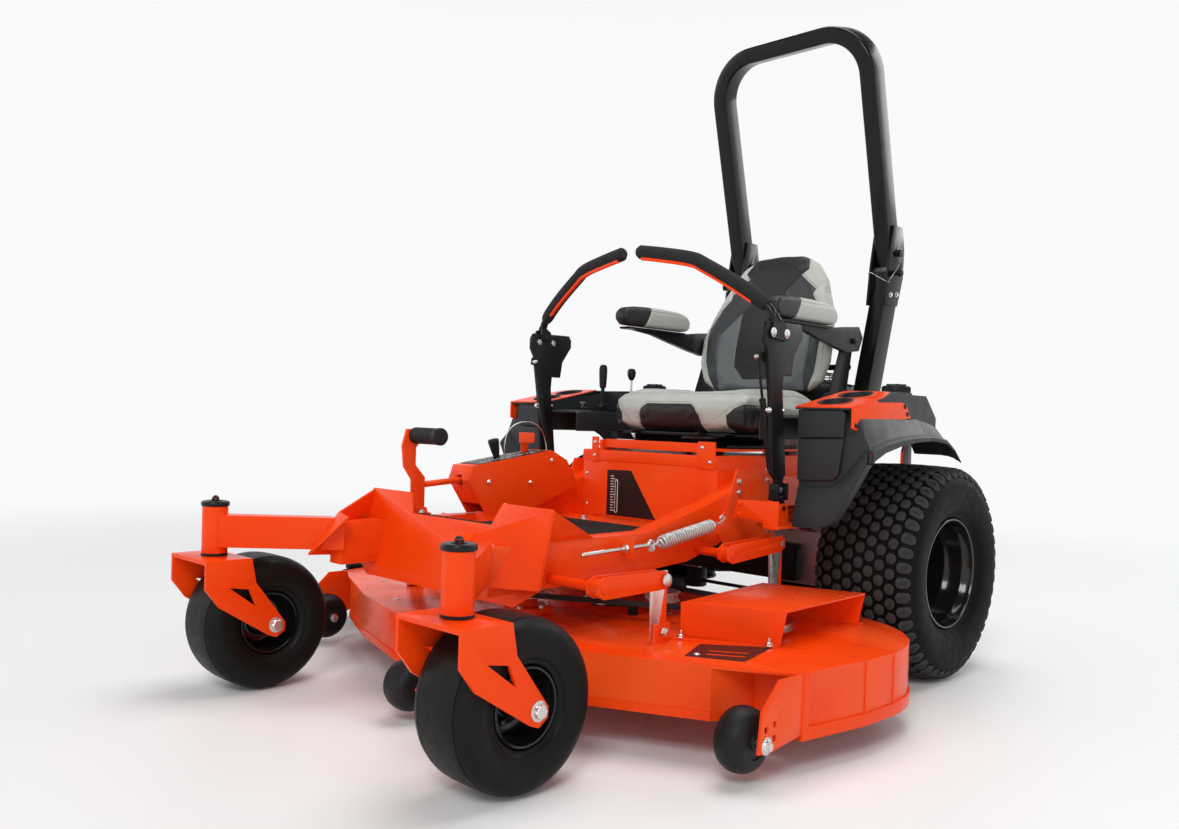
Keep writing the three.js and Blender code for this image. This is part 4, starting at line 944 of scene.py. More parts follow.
# Panels of the covers in millimetres, later ones over earlier ones. The back's and the front's are
# (x, z) as seen from the front, the side's and the armrest's (y, z) as seen from the side.
BACK_PANELS = (
    ("charcoal", both_sides([(160, 760), (197, 835), (206, 874), (213, 985), (186, 1040), (150, 1085)])),
    ("charcoal", both_sides([(150, 1075), (156, 1100), (93, 1152)])),
    ("mid", both_sides([(156, 760), (170, 912), (166, 968), (103, 1036)])),
    ("black", both_sides([(66, 819), (104, 860), (107, 915), (103, 1036), (39, 1100)])),
    ("black", both_sides([(39, 1092), (117, 1168), (84, 1250)])),
)
FRONT_PANEL = both_sides([(118, 640), (107, 700), (98, 718), (80, 730)])
SIDE_PANEL = [(-440, 640), (-196, 640), (-230, 720), (-246, 731), (-392, 731), (-408, 720)]
ARM_PANEL = [(-400, 930), (-278, 930), (-205, 1060), (-400, 1060)]
RIBS = (866, 907)  # heights of the seams across the backrest
SEAT_LOW = 651.3
SEAM_BLUR = 0.0006
CLOTH_FRAMES = 20
VINYL_LIGHT = (0.43, 0.45, 0.41)
PANEL_COLOURS = {
    "black": (0.018, 0.018, 0.018),
    "charcoal": (0.040, 0.043, 0.045),
    "mid": (0.125, 0.138, 0.142),
}


def vinyl_cover(name, panels):
    """Vinyl whose colour changes at the panels' seams. A panel is (colour, plane, limit, outline):
    plane "x" is seen from the side and "y" from the front, and the limit (axis, sign, place) keeps it
    to one face of the cushion."""
    material = surface(name, VINYL_LIGHT, 0.44, 0.0, 0.035, 6, 0.05, 520, 0.28, kind="cells")
    nodes, links = material.node_tree.nodes, material.node_tree.links
    shader = nodes["Principled BSDF"]
    tint = shader.inputs["Base Color"].links[0].from_socket
    place = nodes.new("ShaderNodeTexCoord").outputs["Object"]

    def math_node(kind, a, b):
        node = nodes.new("ShaderNodeMath")
        node.operation = kind
        for socket, value in zip(node.inputs, (a, b)):
            if isinstance(value, bpy.types.NodeSocket):
                links.new(value, socket)
            else:
                socket.default_value = value
        return node.outputs[0]

    def slope(direction, offset):
        node = nodes.new("ShaderNodeVectorMath")
        node.operation = "DOT_PRODUCT"
        node.inputs[1].default_value = direction
        links.new(place, node.inputs[0])
        return math_node("ADD", node.outputs["Value"], offset)

    for colour, plane, limit, outline in panels:
        first, second = (1, 2) if plane == "x" else (0, 2)
        reach = None
        points = [((u + OFFSET[first]) / 1000, (v + OFFSET[second]) / 1000) for u, v in outline]
        for (u0, v0), (u1, v1) in zip(points, points[1:] + points[:1]):
            length = math.hypot(u1 - u0, v1 - v0)
            direction = [0, 0, 0]
            direction[first], direction[second] = -(v1 - v0) / length, (u1 - u0) / length
            side = slope(direction, -(direction[first] * u0 + direction[second] * v0))
            reach = side if reach is None else math_node("MINIMUM", reach, side)
        axis, sign, at = limit
        direction = [0, 0, 0]
        direction[axis] = sign
        reach = math_node("MINIMUM", reach, slope(direction, -sign * (at + OFFSET[axis]) / 1000))
        mask = nodes.new("ShaderNodeMapRange")
        set_range(mask, -SEAM_BLUR, SEAM_BLUR, 0, 1)
        links.new(reach, mask.inputs["Value"])
        mix = nodes.new("ShaderNodeMix")
        mix.data_type = "RGBA"
        links.new(mask.outputs["Result"], mix.inputs[0])
        links.new(tint, mix.inputs[6])
        mix.inputs[7].default_value = (*PANEL_COLOURS[colour], 1)
        tint = mix.outputs[2]
    links.new(tint, shader.inputs["Base Color"])
    return material


def stuffed(name, draw, shrink, cap, pressure=4.0, voxel=5.0):
    """A cover blown up over its foam: remeshed, inflated as cloth, and held within a cap of its start."""
    bm = bmesh.new()
    draw(bm)
    bmesh.ops.recalc_face_normals(bm, faces=bm.faces)
    middle = sum((v.co for v in bm.verts), Vector()) / len(bm.verts)
    bmesh.ops.scale(bm, vec=shrink, space=Matrix.Translation(-middle), verts=bm.verts)
    bm.transform(TO_ROW)
    piece = bpy.data.objects.new(name, as_mesh(bm, name))
    scene.collection.objects.link(piece)
    bpy.context.view_layer.objects.active = piece
    remesh = piece.modifiers.new("remesh", "REMESH")
    remesh.mode = "VOXEL"
    remesh.voxel_size = voxel / 1000
    relax = piece.modifiers.new("relax", "SMOOTH")
    relax.factor = 0.5
    relax.iterations = 5
    bake(piece)
    start = [v.co.copy() for v in piece.data.vertices]
    cloth = piece.modifiers.new("cloth", "CLOTH")
    settings = cloth.settings
    settings.quality = 5
    settings.mass = 0.3
    settings.use_pressure = True
    settings.uniform_pressure_force = pressure
    settings.tension_stiffness = settings.compression_stiffness = 40
    settings.bending_stiffness = 30
    settings.effector_weights.gravity = 0
    cloth.collision_settings.use_collision = False
    for number in range(1, CLOTH_FRAMES + 1):
        scene.frame_set(number)
    bake(piece)
    scene.frame_set(1)
    for vertex, before in zip(piece.data.vertices, start):
        move = vertex.co - before
        if move.length > cap / 1000:
            vertex.co = before + move.normalized() * cap / 1000
    settle = piece.modifiers.new("settle", "SMOOTH")
    settle.factor = 0.5
    settle.iterations = 4
    bake(piece)
    return piece


def bake(piece):
    """Applies a piece's modifiers."""
    graph = bpy.context.evaluated_depsgraph_get()
    mesh = bpy.data.meshes.new_from_object(piece.evaluated_get(graph))
    piece.modifiers.clear()
    piece.data = mesh


def shape(piece, move):
    """Moves each point by a function of its place and normal in the mower's millimetres."""
    moves = []
    for vertex in piece.data.vertices:
        moves.append(move(vertex.co * 1000 - OFFSET, vertex.normal))
    for vertex, shift in zip(piece.data.vertices, moves):
        vertex.co += shift / 1000


def panel_at(panels, u, v):
    """The colour of the panel over a place, or None where the cover's own colour shows."""
    over = [colour for colour, outline in panels if inside(outline, u, v) > 0]
    return over[-1] if over else None


def seam_depth(panels, u, v, reach=3.2):
    """How close a place is to a change of panel, from 0 to 1."""
    here = panel_at(panels, u, v)
    turns = [math.pi / 4 * k for k in range(8)]
    others = [panel_at(panels, u + reach * math.cos(t), v + reach * math.sin(t)) != here for t in turns]
    return min(1.0, sum(others) / 3)


def groove(distance, depth, width):
    """Depth of a sewn channel at a distance from its seam."""
    return -depth * math.exp(-((distance / width) ** 2))


def finish_cushion(piece, material, body, node):
    subdivide = piece.modifiers.new("subdivide", "SUBSURF")
    subdivide.levels = subdivide.render_levels = 1
    bake(piece)
    piece.data.polygons.foreach_set("use_smooth", [True] * len(piece.data.polygons))
    piece.data.materials.clear()
    piece.data.materials.append(material)
    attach(piece, body)
    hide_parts(node)


def stitches(bm, points, normals, pitch=4.6, length=3.0, radius=0.42):
    """Thread dashes laid along a line of surface points."""
    travelled = 0.0
    for a, b, normal in zip(points, points[1:], normals):
        step = (b - a).length
        while travelled < step:
            start = a.lerp(b, travelled / step)
            way = (b - a).normalized()
            lathe(bm, start + normal * 0.25, way, [(radius, 0), (radius, length)], 5)
            travelled += pitch
        travelled -= step


def closest(piece, point, direction):
    """Where a ray in the mower's millimetres meets a piece, and its normal there."""
    hit, place, normal = piece.ray_cast(TO_ROW @ Vector(point), Vector(direction))[:3]
    return (place * 1000 - OFFSET, normal) if hit else (None, None)


def sew(bm, piece, flat, direction, to_point):
    """Stitches along an open line of (u, v) points projected on the piece."""
    points, normals = [], []
    for (u0, v0), (u1, v1) in zip(flat, flat[1:]):
        count = max(2, int(math.hypot(u1 - u0, v1 - v0) / 7))
        for k in range(count):
            u, v = u0 + (u1 - u0) * k / count, v0 + (v1 - v0) * k / count
            place, normal = closest(piece, to_point(u, v), direction)
            if place is not None:
                points.append(place)
                normals.append(normal)
    stitches(bm, points, normals)


def offset_line(line, distance):
    """An open line moved to its left."""
    out = []
    for i, (u, v) in enumerate(line):
        a, b = line[max(i - 1, 0)], line[min(i + 1, len(line) - 1)]
        length = math.hypot(b[0] - a[0], b[1] - a[1])
        out.append((u - (b[1] - a[1]) / length * distance, v + (b[0] - a[0]) / length * distance))
    return out


def seat_cushion():
    """Wide cushion with a dished middle, side bolsters and piped edges."""
    def draw(bm):
        side = [(-424, 654), (-436, 668), (-438, 716), (-430, 744), (-404, 762), (-330, 768), (-240, 767),
                (-130, 768), (-66, 770), (-28, 756), (-20, 710), (-26, 662), (-40, 652), (-220, 652)]
        rows = []
        for x in (-243, -226, -150, -60, 0, 60, 150, 226, 243):
            edge = (abs(x) / 243) ** 4
            rows.append([])
            for y, z in side:
                bulge = (30 * edge - 6) if y < -380 else 0
                rows[-1].append(bm.verts.new((x, -222 + (y + 222) * (1 - 0.06 * edge) + bulge,
                                              706 + (z - 706) * (1 - 0.10 * edge))))
        loft(bm, rows)

    piece = stuffed("seat_cushion_cover", draw, (0.975, 0.975, 0.93), 9)

    def mould(p, n):
        up = max(0.0, n.z)
        dish = -13 * math.exp(-((p.x / 128) ** 4)) * up * math.exp(-(((p.y + 205) / 160) ** 4))
        bolster = 9 * math.exp(-(((abs(p.x) - 190) / 36) ** 2)) * up * math.exp(-(((p.y + 170) / 170) ** 4))
        seam = groove(p.z - 755, 2.8, 3.0) if n.z < 0.85 else 0.0
        if up > 0.6:
            seam += groove(abs(p.x) - 148 + 0.06 * (p.y + 220), 2.6, 3.4) if -392 < p.y < -60 else 0.0
            seam += groove(p.y + 300, 2.2, 3.4) if abs(p.x) < 144 else 0.0
        if n.y < -0.4:
            seam += groove(inside(FRONT_PANEL, p.x, p.z), 2.6, 3.0)
        if abs(n.x) > 0.4:
            seam += groove(inside(SIDE_PANEL, p.y, p.z), 2.6, 3.0)
        floor = max(0.0, SEAT_LOW - p.z)
        return n * seam + Vector((0, 0, dish + bolster + floor))

    shape(piece, mould)
    cover = vinyl_cover("seat_cushion_vinyl", [
        ("black", "y", (1, -1, -330), FRONT_PANEL),
        ("black", "x", (0, 1, 190), SIDE_PANEL),
        ("black", "x", (0, -1, -190), SIDE_PANEL),
    ])
    finish_cushion(piece, cover, "seat", "seat_cushion")

    def thread(bm):
        front = FRONT_PANEL[1:] + [FRONT_PANEL[0]]
        sew(bm, piece, offset_line(front, -5), (0, 1, 0), lambda u, v: (u, -480, v))
        for sign in (1, -1):
            rim = SIDE_PANEL[1:] + [SIDE_PANEL[0]]
            sew(bm, piece, offset_line(rim, -5), (-sign, 0, 0), lambda u, v, s=sign: (s * 300, u, v))
            sew(bm, piece, [(-398, 760), (-60, 760)], (-sign, 0, 0), lambda u, v, s=sign: (s * 300, u, v))
        sew(bm, piece, [(-200, 760), (200, 760)], (0, 1, 0), lambda u, v: (u, -480, v))
    add("seat_cushion_thread", thread, THREAD, "seat")


def back_side(z):
    """How far back the middle of the backrest's face stands at a height."""
    return 8 + 0.27 * (z - 790) + 10 * math.cos((z - 790) / 435 * math.pi)


def back_face(x, z):
    """The backrest's face, whose wings come forward round the sitter."""
    wing = 48 * math.exp(-(((z - 920) / 170) ** 2))
    reach = min(1.0, abs(x) / 225)
    return back_side(z) - wing * reach ** 2.6


def seat_back():
    """Tall backrest with wings, sewn from coloured panels."""
    half = [(0, 772), (100, 772), (180, 776), (222, 806), (238, 870), (238, 950), (222, 1036), (184, 1136),
            (140, 1192), (84, 1222), (0, 1227)]
    outline = half + [(-x, z) for x, z in reversed(half[1:-1])]

    def draw(bm):
        loops = []
        for grow, back in ((0, 0), (0.28, 0), (0.5, 0), (0.7, 0), (0.86, 0), (0.96, 0.03), (1.0, 0.22),
                           (1.0, 0.75), (0.97, 0.96), (0.85, 1.0), (0.4, 1.0), (0, 1.0)):
            spread = max(grow, 0.02)
            loop = []
            for x, z in outline:
                u, w = x * spread, 990 + (z - 990) * spread
                front, rear = back_face(u, w), 56 + 0.27 * (w - 850)
                loop.append(bm.verts.new((u, front + (rear - front) * back, w)))
            loops.append(loop)
        loft(bm, loops)

    piece = stuffed("seat_back_cover", draw, (0.975, 0.94, 0.98), 9)

    def mould(p, n):
        seam = 0.0
        if n.y < -0.25:
            seam -= 2.6 * seam_depth(BACK_PANELS, p.x, p.z)
            if abs(p.x) < 96:
                seam += sum(groove(p.z - z, 3.2, 3.6) for z in RIBS)
        if abs(n.x) > 0.35 or abs(n.z) > 0.5:
            seam += groove(p.y - back_face(p.x, p.z) - 16, 2.6, 3.2)
        return n * seam

    shape(piece, mould)
    cover = vinyl_cover("seat_back_vinyl", [(colour, "y", (1, -1, 125), outline) for colour,
                                            outline in BACK_PANELS])
    finish_cushion(piece, cover, "seat", "seat_back")

    def thread(bm):
        point = lambda u, v: (u, -200, v)
        for sign in (1, -1):
            for line in ([(201, 840), (211, 874), (218, 985), (191, 1043), (156, 1086)],
                         [(161, 1102), (99, 1155)], [(160, 800), (165, 912), (161, 966), (106, 1028)],
                         [(62, 824), (99, 862), (102, 915), (98, 1034), (44, 1090)],
                         [(111, 1168), (80, 1218)]):
                sew(bm, piece, [(sign * u, v) for u, v in line], (0, 1, 0), point)
        for z in RIBS:
            sew(bm, piece, [(-92, z - 5), (92, z - 5)], (0, 1, 0), point)
    add("seat_back_thread", thread, THREAD, "seat")


def armrest(side, sign):
    """Arched pad over a bent steel arm: its front part is black and its rear part light."""
    def draw(bm):
        path = [(-352, 990), (-350, 1014), (-334, 1030), (-296, 1036), (-230, 1039), (-150, 1039),
                (-80, 1036), (-38, 1028), (-21, 1006), (-22, 982), (-36, 970), (-180, 969), (-332, 970)]
        loops = []
        for x, grow in ((245, 0.72), (248, 0.90), (258, 0.98), (272, 1.0), (286, 0.98), (296, 0.90),
                        (299, 0.72)):
            loops.append([bm.verts.new((sign * x, -186 + (y + 186) * (1 - (1 - grow) * 0.16),
                                        1002 + (z - 1002) * grow)) for y, z in path])
        loft(bm, loops)

    piece = stuffed(f"armrest_{side}_pad", draw, (0.93, 0.985, 0.93), 5, 3.0, 4.0)

    def mould(p, n):
        along = p.y + 278 - (p.z - 930) * 0.56
        seam = groove(p.z - 1022, 1.6, 2.8) if along > 0 and n.z < 0.8 else 0
        return n * (groove(along, 2.4, 3.0) + seam)

    shape(piece, mould)
    cover = vinyl_cover(f"armrest_{side}_vinyl", [("black", "x", (2, 1, 900), ARM_PANEL)])
    finish_cushion(piece, cover, "arm_" + side, "armrest_" + side)

    def support(bm):
        prism(bm, "x", [(-290, 967), (-280, 960), (-200, 952), (-20, 914), (60, 900), (128, 908), (150, 950),
                        (126, 982), (30, 974), (-30, 967)],
              sign * 262, sign * 280)
        prism(bm, "x", [(-330, 968.5), (-322, 962), (-56, 962), (-40, 968.5)], sign * 252, sign * 292)
    add(f"armrest_{side}_arm", support, SATIN_BLACK, "arm_" + side, edge=1.6)


seat_cushion()
seat_back()
for side, sign in SIDES:
    armrest(side, sign)


def suspension(bm):
    """Ribbed bellows over the scissor frame, with the base and top frames."""
    levels = 7
    loops = []
    for i in range(levels * 2 + 1):
        z = 611 + (646 - 611) * i / (levels * 2)
        grow = 0 if i % 2 else 9
        loops.append([bm.verts.new((u, v - 240, z)) for u, v in rounded(176 + grow, 146 + grow, 30, 5)])
    loft(bm, loops)


def seat_irons(bm):
    """Slide rails, base frame and side brackets of the seat."""
    bracket = [(-70, 631), (60, 690), (110, 780), (140, 930), (118, 960), (72, 960), (62, 900),
               (6, 764), (-14, 740), (-14, 700)]
    for sign in (1, -1):
        box(bm, (sign * 196 - 14, -398, 609), (sign * 196 + 14, -84, 618))
        box(bm, (sign * 196 - 10, -412, 640), (sign * 196 + 10, -62, 650))
        prism(bm, "x", bracket, sign * 248, sign * 253)
    box(bm, (-206, -412, 640), (206, -396, 649))
    box(bm, (-253, -80, 639), (253, -58, 650))


def seat_ties(bm):
    """Cross tubes and pivots of the backrest and armrests, and the slide's handle."""
    rod(bm, (-251, 20, 724), (251, 20, 724), 9, 24)
    rod(bm, (-251, 128, 860), (251, 128, 860), 9, 24)
    for sign in (1, -1):
        rod(bm, (sign * 250, 96, 936), (sign * 286, 96, 936), 7, 20)
        dome(bm, (sign * 285, 96, 936), (sign, 0, 0), 11, 5)
        rod(bm, (sign * 120, -404, 644), (sign * 120, -452, 648), 4, 12)
    tube(bm, [(60, -400, 640), (60, -440, 636), (90, -452, 636), (130, -452, 636), (160, -440, 636),
              (160, -400, 640)], 4, 10, 5)


add("seat_bellows", suspension, BLACK_PLASTIC, "seat", ["seat_suspension"], smooth=60)
add("seat_irons", seat_irons, SATIN_BLACK, "seat", edge=1.5)
add("seat_ties", seat_ties, SATIN_BLACK, "seat")


def back_shell(bm):
    """Moulded shell behind the backrest."""
    outline = both_sides([(150, 800), (196, 880), (200, 990), (178, 1090), (120, 1170)])
    loops = []
    for depth, grow in ((0, 1.0), (10, 1.0), (20, 0.94), (26, 0.80)):
        loop = []
        for x, z in outline:
            w = 985 + (z - 985) * grow
            loop.append(bm.verts.new((x * grow, 50 + 0.27 * (w - 850) + depth, w)))
        loops.append(loop)
    loft(bm, loops)


add("seat_back_shell", back_shell, BLACK_PLASTIC, "seat", edge=3)


# ---- Sheets with holes ----
def sheet(bm, axis, outline, holes, low, high):
    """A flat outline with holes, made thick along one axis."""
    order = THICK_ALONG[axis]
    loops = [outline] + holes
    flat = [Vector((u, v, 0)) for loop in loops for u, v in loop]
    triangles = tessellate_polygon([[Vector((u, v, 0)) for u, v in loop] for loop in loops])
    layers = [[bm.verts.new(order(p.x, p.y, w)) for p in flat] for w in (low, high)]
    for a, b, c in triangles:
        bm.faces.new((layers[0][a], layers[0][b], layers[0][c]))
        bm.faces.new((layers[1][c], layers[1][b], layers[1][a]))
    start = 0
    for loop in loops:
        count = len(loop)
        bridge(bm, layers[0][start:start + count], layers[1][start:start + count])
        start += count


# ---- Fenders, cup holders and hand controls ----
CUPS = ((520, -412), (520, -312))
TRAY_FRONT, TRAY_Z, TRAY_SLOPE = -486, 724, 0.2
FUEL_CAP = (450, 40)


def tilt(bm, low=0.0):
    """Leans what was drawn level so that it follows the tray."""
    for vertex in bm.verts:
        if vertex.co.z > low:
            vertex.co.z += TRAY_SLOPE * (vertex.co.y - TRAY_FRONT)


def cup_trim(bm):
    """Bent orange sheet over the cup holders and down the outer side."""
    outline = [(452, -487), (612.5, -487), (612.5, -344), (590, -266), (552, -254), (452, -254)]
    sheet(bm, "z", outline, [disc(*cup, 42.5) for cup in CUPS], TRAY_Z + 0.5, TRAY_Z + 3.5)
    tilt(bm)
    side = [(-487, 726), (-376, 748), (-364, 742), (-240, 745), (-216, 736), (-194, 706), (-470, 670),
            (-487, 676)]
    prism(bm, "x", side, 607, 612.5)


def cup_liners(bm):
    """Plastic cups with a rolled rim over the trim sheet."""
    wall, floor = [(39.5, 656), (39.5, 720)], [(37.2, 660), (34, 655), (0, 655)]
    rim = [(42.4, 0), (44.6, 3.2), (43.6, 5.2), (39.6, 4.2), (37.8, 0)]
    for x, y in CUPS:
        lathe(bm, (x, y, 0), UP, wall + [(r, TRAY_Z + z) for r, z in rim] + floor, 48)
    tilt(bm, 722)


def trim_bolts(bm):
    """Heads that hold the trim sheet to the fender's side."""
    for y, z in ((-474, 683), (-226, 735), (-212, 716)):
        dome(bm, (612.3, y, z), LEFT, 6.5, 3.4, 20)


def shell(bm, rows, thickness=4):
    """A moulded sheet through rows of points, thickened inwards."""
    rows = [[bm.verts.new(point) for point in row] for row in rows]
    for a, b in zip(rows, rows[1:]):
        for i in range(len(a) - 1):
            bm.faces.new((a[i], a[i + 1], b[i + 1], b[i]))
    bmesh.ops.recalc_face_normals(bm, faces=bm.faces)
    bmesh.ops.solidify(bm, geom=bm.faces[:], thickness=thickness)


# Along the fender: y, height of its top, where the shoulder ends and where the outer lip ends.
FENDER_LINE = [(-462, 698, 628, 590), (-452, 705, 632, 598), (-400, 706, 645, 618), (-320, 706, 657, 634),
               (-240, 706, 664, 644), (-158, 706, 666, 648), (-110, 699, 664, 646), (-60, 690, 657, 640),
               (-15, 652, 634, 620), (25, 611, 602, 590)]


def fender_row(inner, y, top, foot, low):
    """The fender's section at one station: top, shoulder and lip."""
    points = [(inner, y, top), (600, y, top), (609, y, top - 1.5), (617, y, top - 0.18 * (top - foot)),
              (636, y, foot + 2)]
    return points + [(643, y, foot - 3), (650, y, foot - 5), (654, y, foot - 9), (654.5, y, low)]


def fender_top(bm):
    """Top of the fender with its shoulder and turned-down lip, open where the console and tank stand."""
    shell(bm, [fender_row(607, *station) for station in FENDER_LINE if station[0] <= -158])


def fender_back(bm):
    """The fender's top from the console to its rear end."""
    shell(bm, [fender_row(521, *station) for station in FENDER_LINE if station[0] >= -158])


def fender_inner(bm):
    """Inner edge of the fender beside the seat: a narrow top strip over an upright wall."""
    top = [(-465, 700), (-445, 705), (-158, 705), (-60, 689), (25, 608)]
    for stations, reach, foot in ((top[:3], 451, 640), (top[2:], 351, 660)):
        shell(bm, [[(reach, y, z), (338, y, z), (331, y, z - 6), (331, y, min(z - 12, foot))]
                   for y, z in stations])


def fender_front(bm):
    """Front of the fender: the block under the console with a step across it, and the wall
    behind the flare."""
    prism(bm, "y", [(456, 650), (583, 654), (586, 708), (580, 720), (456, 720)], -479, -461)
    prism(bm, "y", [(456, 543), (556, 549), (570, 563), (582, 649), (456, 645)], -476, -463)
    wall = [(455, 698), (455, 440), (530, 442), (572, 462), (606, 524), (646, 592), (646, 628), (616, 690)]
    prism(bm, "y", wall, -465, -461)


def fender_flare(bm):
    """Sloping lip round the front of the wheel arch, turning into the lip along the side."""
    inner = [(456, 533), (530, 535), (552, 541), (574, 556), (606, 592), (638, 630)]
    outer = [(456, 425), (524, 428), (552, 436), (576, 454), (614, 519), (653, 590)]
    places = []
    for (x0, z0), (x1, z1) in zip(inner, outer):
        across = [(x0, -463, z0), (x0 * 0.9 + x1 * 0.1, -471, z0 * 0.9 + z1 * 0.1),
                  (x1 * 0.82 + x0 * 0.18, -491, z1 * 0.82 + z0 * 0.18)]
        places.append(across + [(x1, -492, z1), (x1, -484, z1), (x1, -463, z1)])
    shell(bm, places)


def fuel_caps(bm):
    """Ribbed fuel cap with a raised grip bar."""
    place = (*FUEL_CAP, 0)
    lathe(bm, place, UP, [(43, 772), (44, 774), (44, 778), (39, 780), (38.5, 796), (36, 799), (30, 799.5),
                          (28, 797), (0, 797)], 48)
    for x, y in disc(*FUEL_CAP, 38.6, 30):
        rod(bm, (x, y, 780), (x, y, 796), 1.7, 8)
    for turn in (0.6, 0.6 + math.pi / 2):
        side = Vector((math.cos(turn), math.sin(turn), 0))
        across = Vector((-side.y, side.x, 0))
        middle = Vector((*FUEL_CAP, 801))
        corners = [middle + side * 27 * a + across * 4 * b for a, b in ((-1, -1), (1, -1), (1, 1), (-1, 1))]
        plate(bm, corners, 7)


add_pair("cup_trim", cup_trim, ORANGE, "root", edge=0.7)
add_pair("cup_liners", cup_liners, BLACK_PLASTIC, "root")
add_pair("trim_bolts", trim_bolts, SATIN_BLACK, "root")
add_pair("fender_top", fender_top, PLASTIC, "root", ["fender_"], edge=1.2, smooth=50)
add_pair("fender_back", fender_back, PLASTIC, "root", edge=1.2, smooth=50)
add_pair("fender_inner", fender_inner, PLASTIC, "root", edge=1.2, smooth=50)
add_pair("fender_front", fender_front, PLASTIC, "root", edge=3)
add_pair("fender_flare", fender_flare, PLASTIC, "root", edge=1.5, smooth=60)
add_pair("fuel_cap", fuel_caps, BLACK_PLASTIC, "root")


KEY = (-410, -360)


def control_panel(bm):
    """Slot plates of the throttle and the parking brake, switch and hour meter on the right fender."""
    brake_slot = [(-356, -378), (-348, -378), (-348, -292), (-356, -292)]
    throttle_slot = [(-346, -262), (-337, -262), (-337, -182), (-346, -182)]
    outline = [(-374, -392), (-331, -392), (-331, -168), (-374, -168)]
    sheet(bm, "z", outline, [brake_slot, throttle_slot], 710.4, 713.4)
    lathe(bm, (*KEY, 710), UP, [(15, 0), (15, 4), (12, 6), (6, 6), (6, 4), (0, 4)], 32)
    box(bm, (-438, -330, 710.3), (-392, -290, 719))


def control_marks(bm):
    """Key in its switch and the marks beside the throttle's slot."""
    lathe(bm, (*KEY, 714), UP, [(5.4, 0), (5.4, 1.5), (0, 1.5)], 24)
    box(bm, (-411.4, -362, 715), (-408.6, -358, 728))
    box(bm, (-417, -366, 727), (-403, -354, 732))
    for y in (-258, -222, -186):
        box(bm, (-336, y - 1, 713.2), (-332, y + 1, 713.8))


THROTTLE = (-341, -207)
BRAKE = (-352, -330)


def throttle(bm):
    rod(bm, (*THROTTLE, 708), (*THROTTLE, 810), 3.6, 16)
    rod(bm, (-350, -207, 718), (-332, -207, 718), 7, 20)


def throttle_knob(bm):
    profile = [(4, 806), (7, 808), (11, 815), (13.5, 824), (14, 832), (12.4, 839), (8, 843.5), (0, 845)]
    lathe(bm, (*THROTTLE, 0), UP, profile, 32)


def brake_lever(bm):
    rod(bm, (*BRAKE, 708), (*BRAKE, 790), 6, 16)
    rod(bm, (-362, -330, 718), (-342, -330, 718), 9, 20)


def brake_grip(bm):
    lathe(bm, (*BRAKE, 0), UP, [(6.5, 776), (10, 778), (11.4, 790), (12.6, 815), (13, 835), (11.5, 845),
                                (7, 850), (0, 851)], 28)


add("control_panel", control_panel, BLACK_PLASTIC, "root", edge=0.8)
add("control_marks", control_marks, ZINC, "root")
add("throttle_stem", throttle, ZINC, "throttle", ["throttle_lever"])
add("throttle_knob", throttle_knob, BLACK_PLASTIC, "throttle")
add("brake_stem", brake_lever, SATIN_BLACK, "brake", ["parking_brake"])
add("brake_grip", brake_grip, BLACK_PLASTIC, "brake")


# ---- Foot platform, height console and pedal ----
def foot_mat(bm):
    """Ribbed mat on the floor, turned up to the notch of the front plate."""
    spine = [(-1188, 436), (-1178, 412), (-1160, 403.5), (-1130, 402), (-700, 402)]
    outline = spine + [(y + 1, z + 4) for y, z in spine[::-1]]
    prism(bm, "x", outline, -160, 200)
    for i in range(26):
        x = -148 + i * 13.4
        prism(bm, "x", [(-1128, 405.5), (-708, 405.5), (-709, 408), (-1126, 408)], x - 2.4, x + 2.4)


def platform_bolts(bm):
    """Washers and hexagon heads on the floor plate."""
    for x, y in ((225, -640), (-120, -640), (225, -1120), (-150, -1160)):
        lathe(bm, (x, y, 400), UP, [(15, 0), (15, 1.6), (13.5, 2.2), (0, 2.2)], 28)
        lathe(bm, (x, y, 402), UP, [(9, 0), (9, 6), (7.6, 7.4), (0, 7.8)], 6)


CONSOLE_X = -236


def console_top(y):
    """Height of the height console's sloping top."""
    return 548 + (y + 985) * 40 / 285


def dial_plate(bm):
    """Dark plate on the console's top."""
    corners = [(CONSOLE_X + x, y, console_top(y) + 0.9) for x,
               y in ((-38, -962), (38, -962), (38, -716), (-38, -716))]
    plate(bm, corners, 1.2)


def dial_marks(bm):
    """Graduations either side of the pin slot: plain bars, longer at every third."""
    for i in range(15):
        y = -940 + i * 15
        long = i % 3 == 0
        for sign in (1, -1):
            x0, x1 = sign * 14, sign * (28 if long else 21)
            corners = [(CONSOLE_X + x, y + dy, console_top(y + dy) + 1.9) for x,
                       dy in ((x0, -1.4), (x1, -1.4), (x1, 1.4), (x0, 1.4))]
            plate(bm, corners, 0.5)


def console_knob(bm):
    """Tapered knob of the height pin."""
    lean = Vector((0, -0.28, 0.96)).normalized()
    place = Vector((CONSOLE_X, -868, console_top(-868)))
    lathe(bm, place, lean, [(8, 0), (9, 4), (9, 10), (12, 24), (15, 46), (15.4, 50), (14, 53.5), (8, 55),
                            (0, 55.4)], 28)


def console_tab(bm):
    """Folded flag of the deck-height stop."""
    prism(bm, "x", [(-770, 572), (-744, 576), (-746, 612), (-752, 628), (-766, 636), (-776, 630),
                    (-772, 604)], CONSOLE_X - 12, CONSOLE_X - 8)
    prism(bm, "y", [(CONSOLE_X - 12, 608), (CONSOLE_X + 44, 608), (CONSOLE_X + 48, 612),
                    (CONSOLE_X + 48, 632), (CONSOLE_X + 44, 636), (CONSOLE_X - 12, 636)], -778, -774)


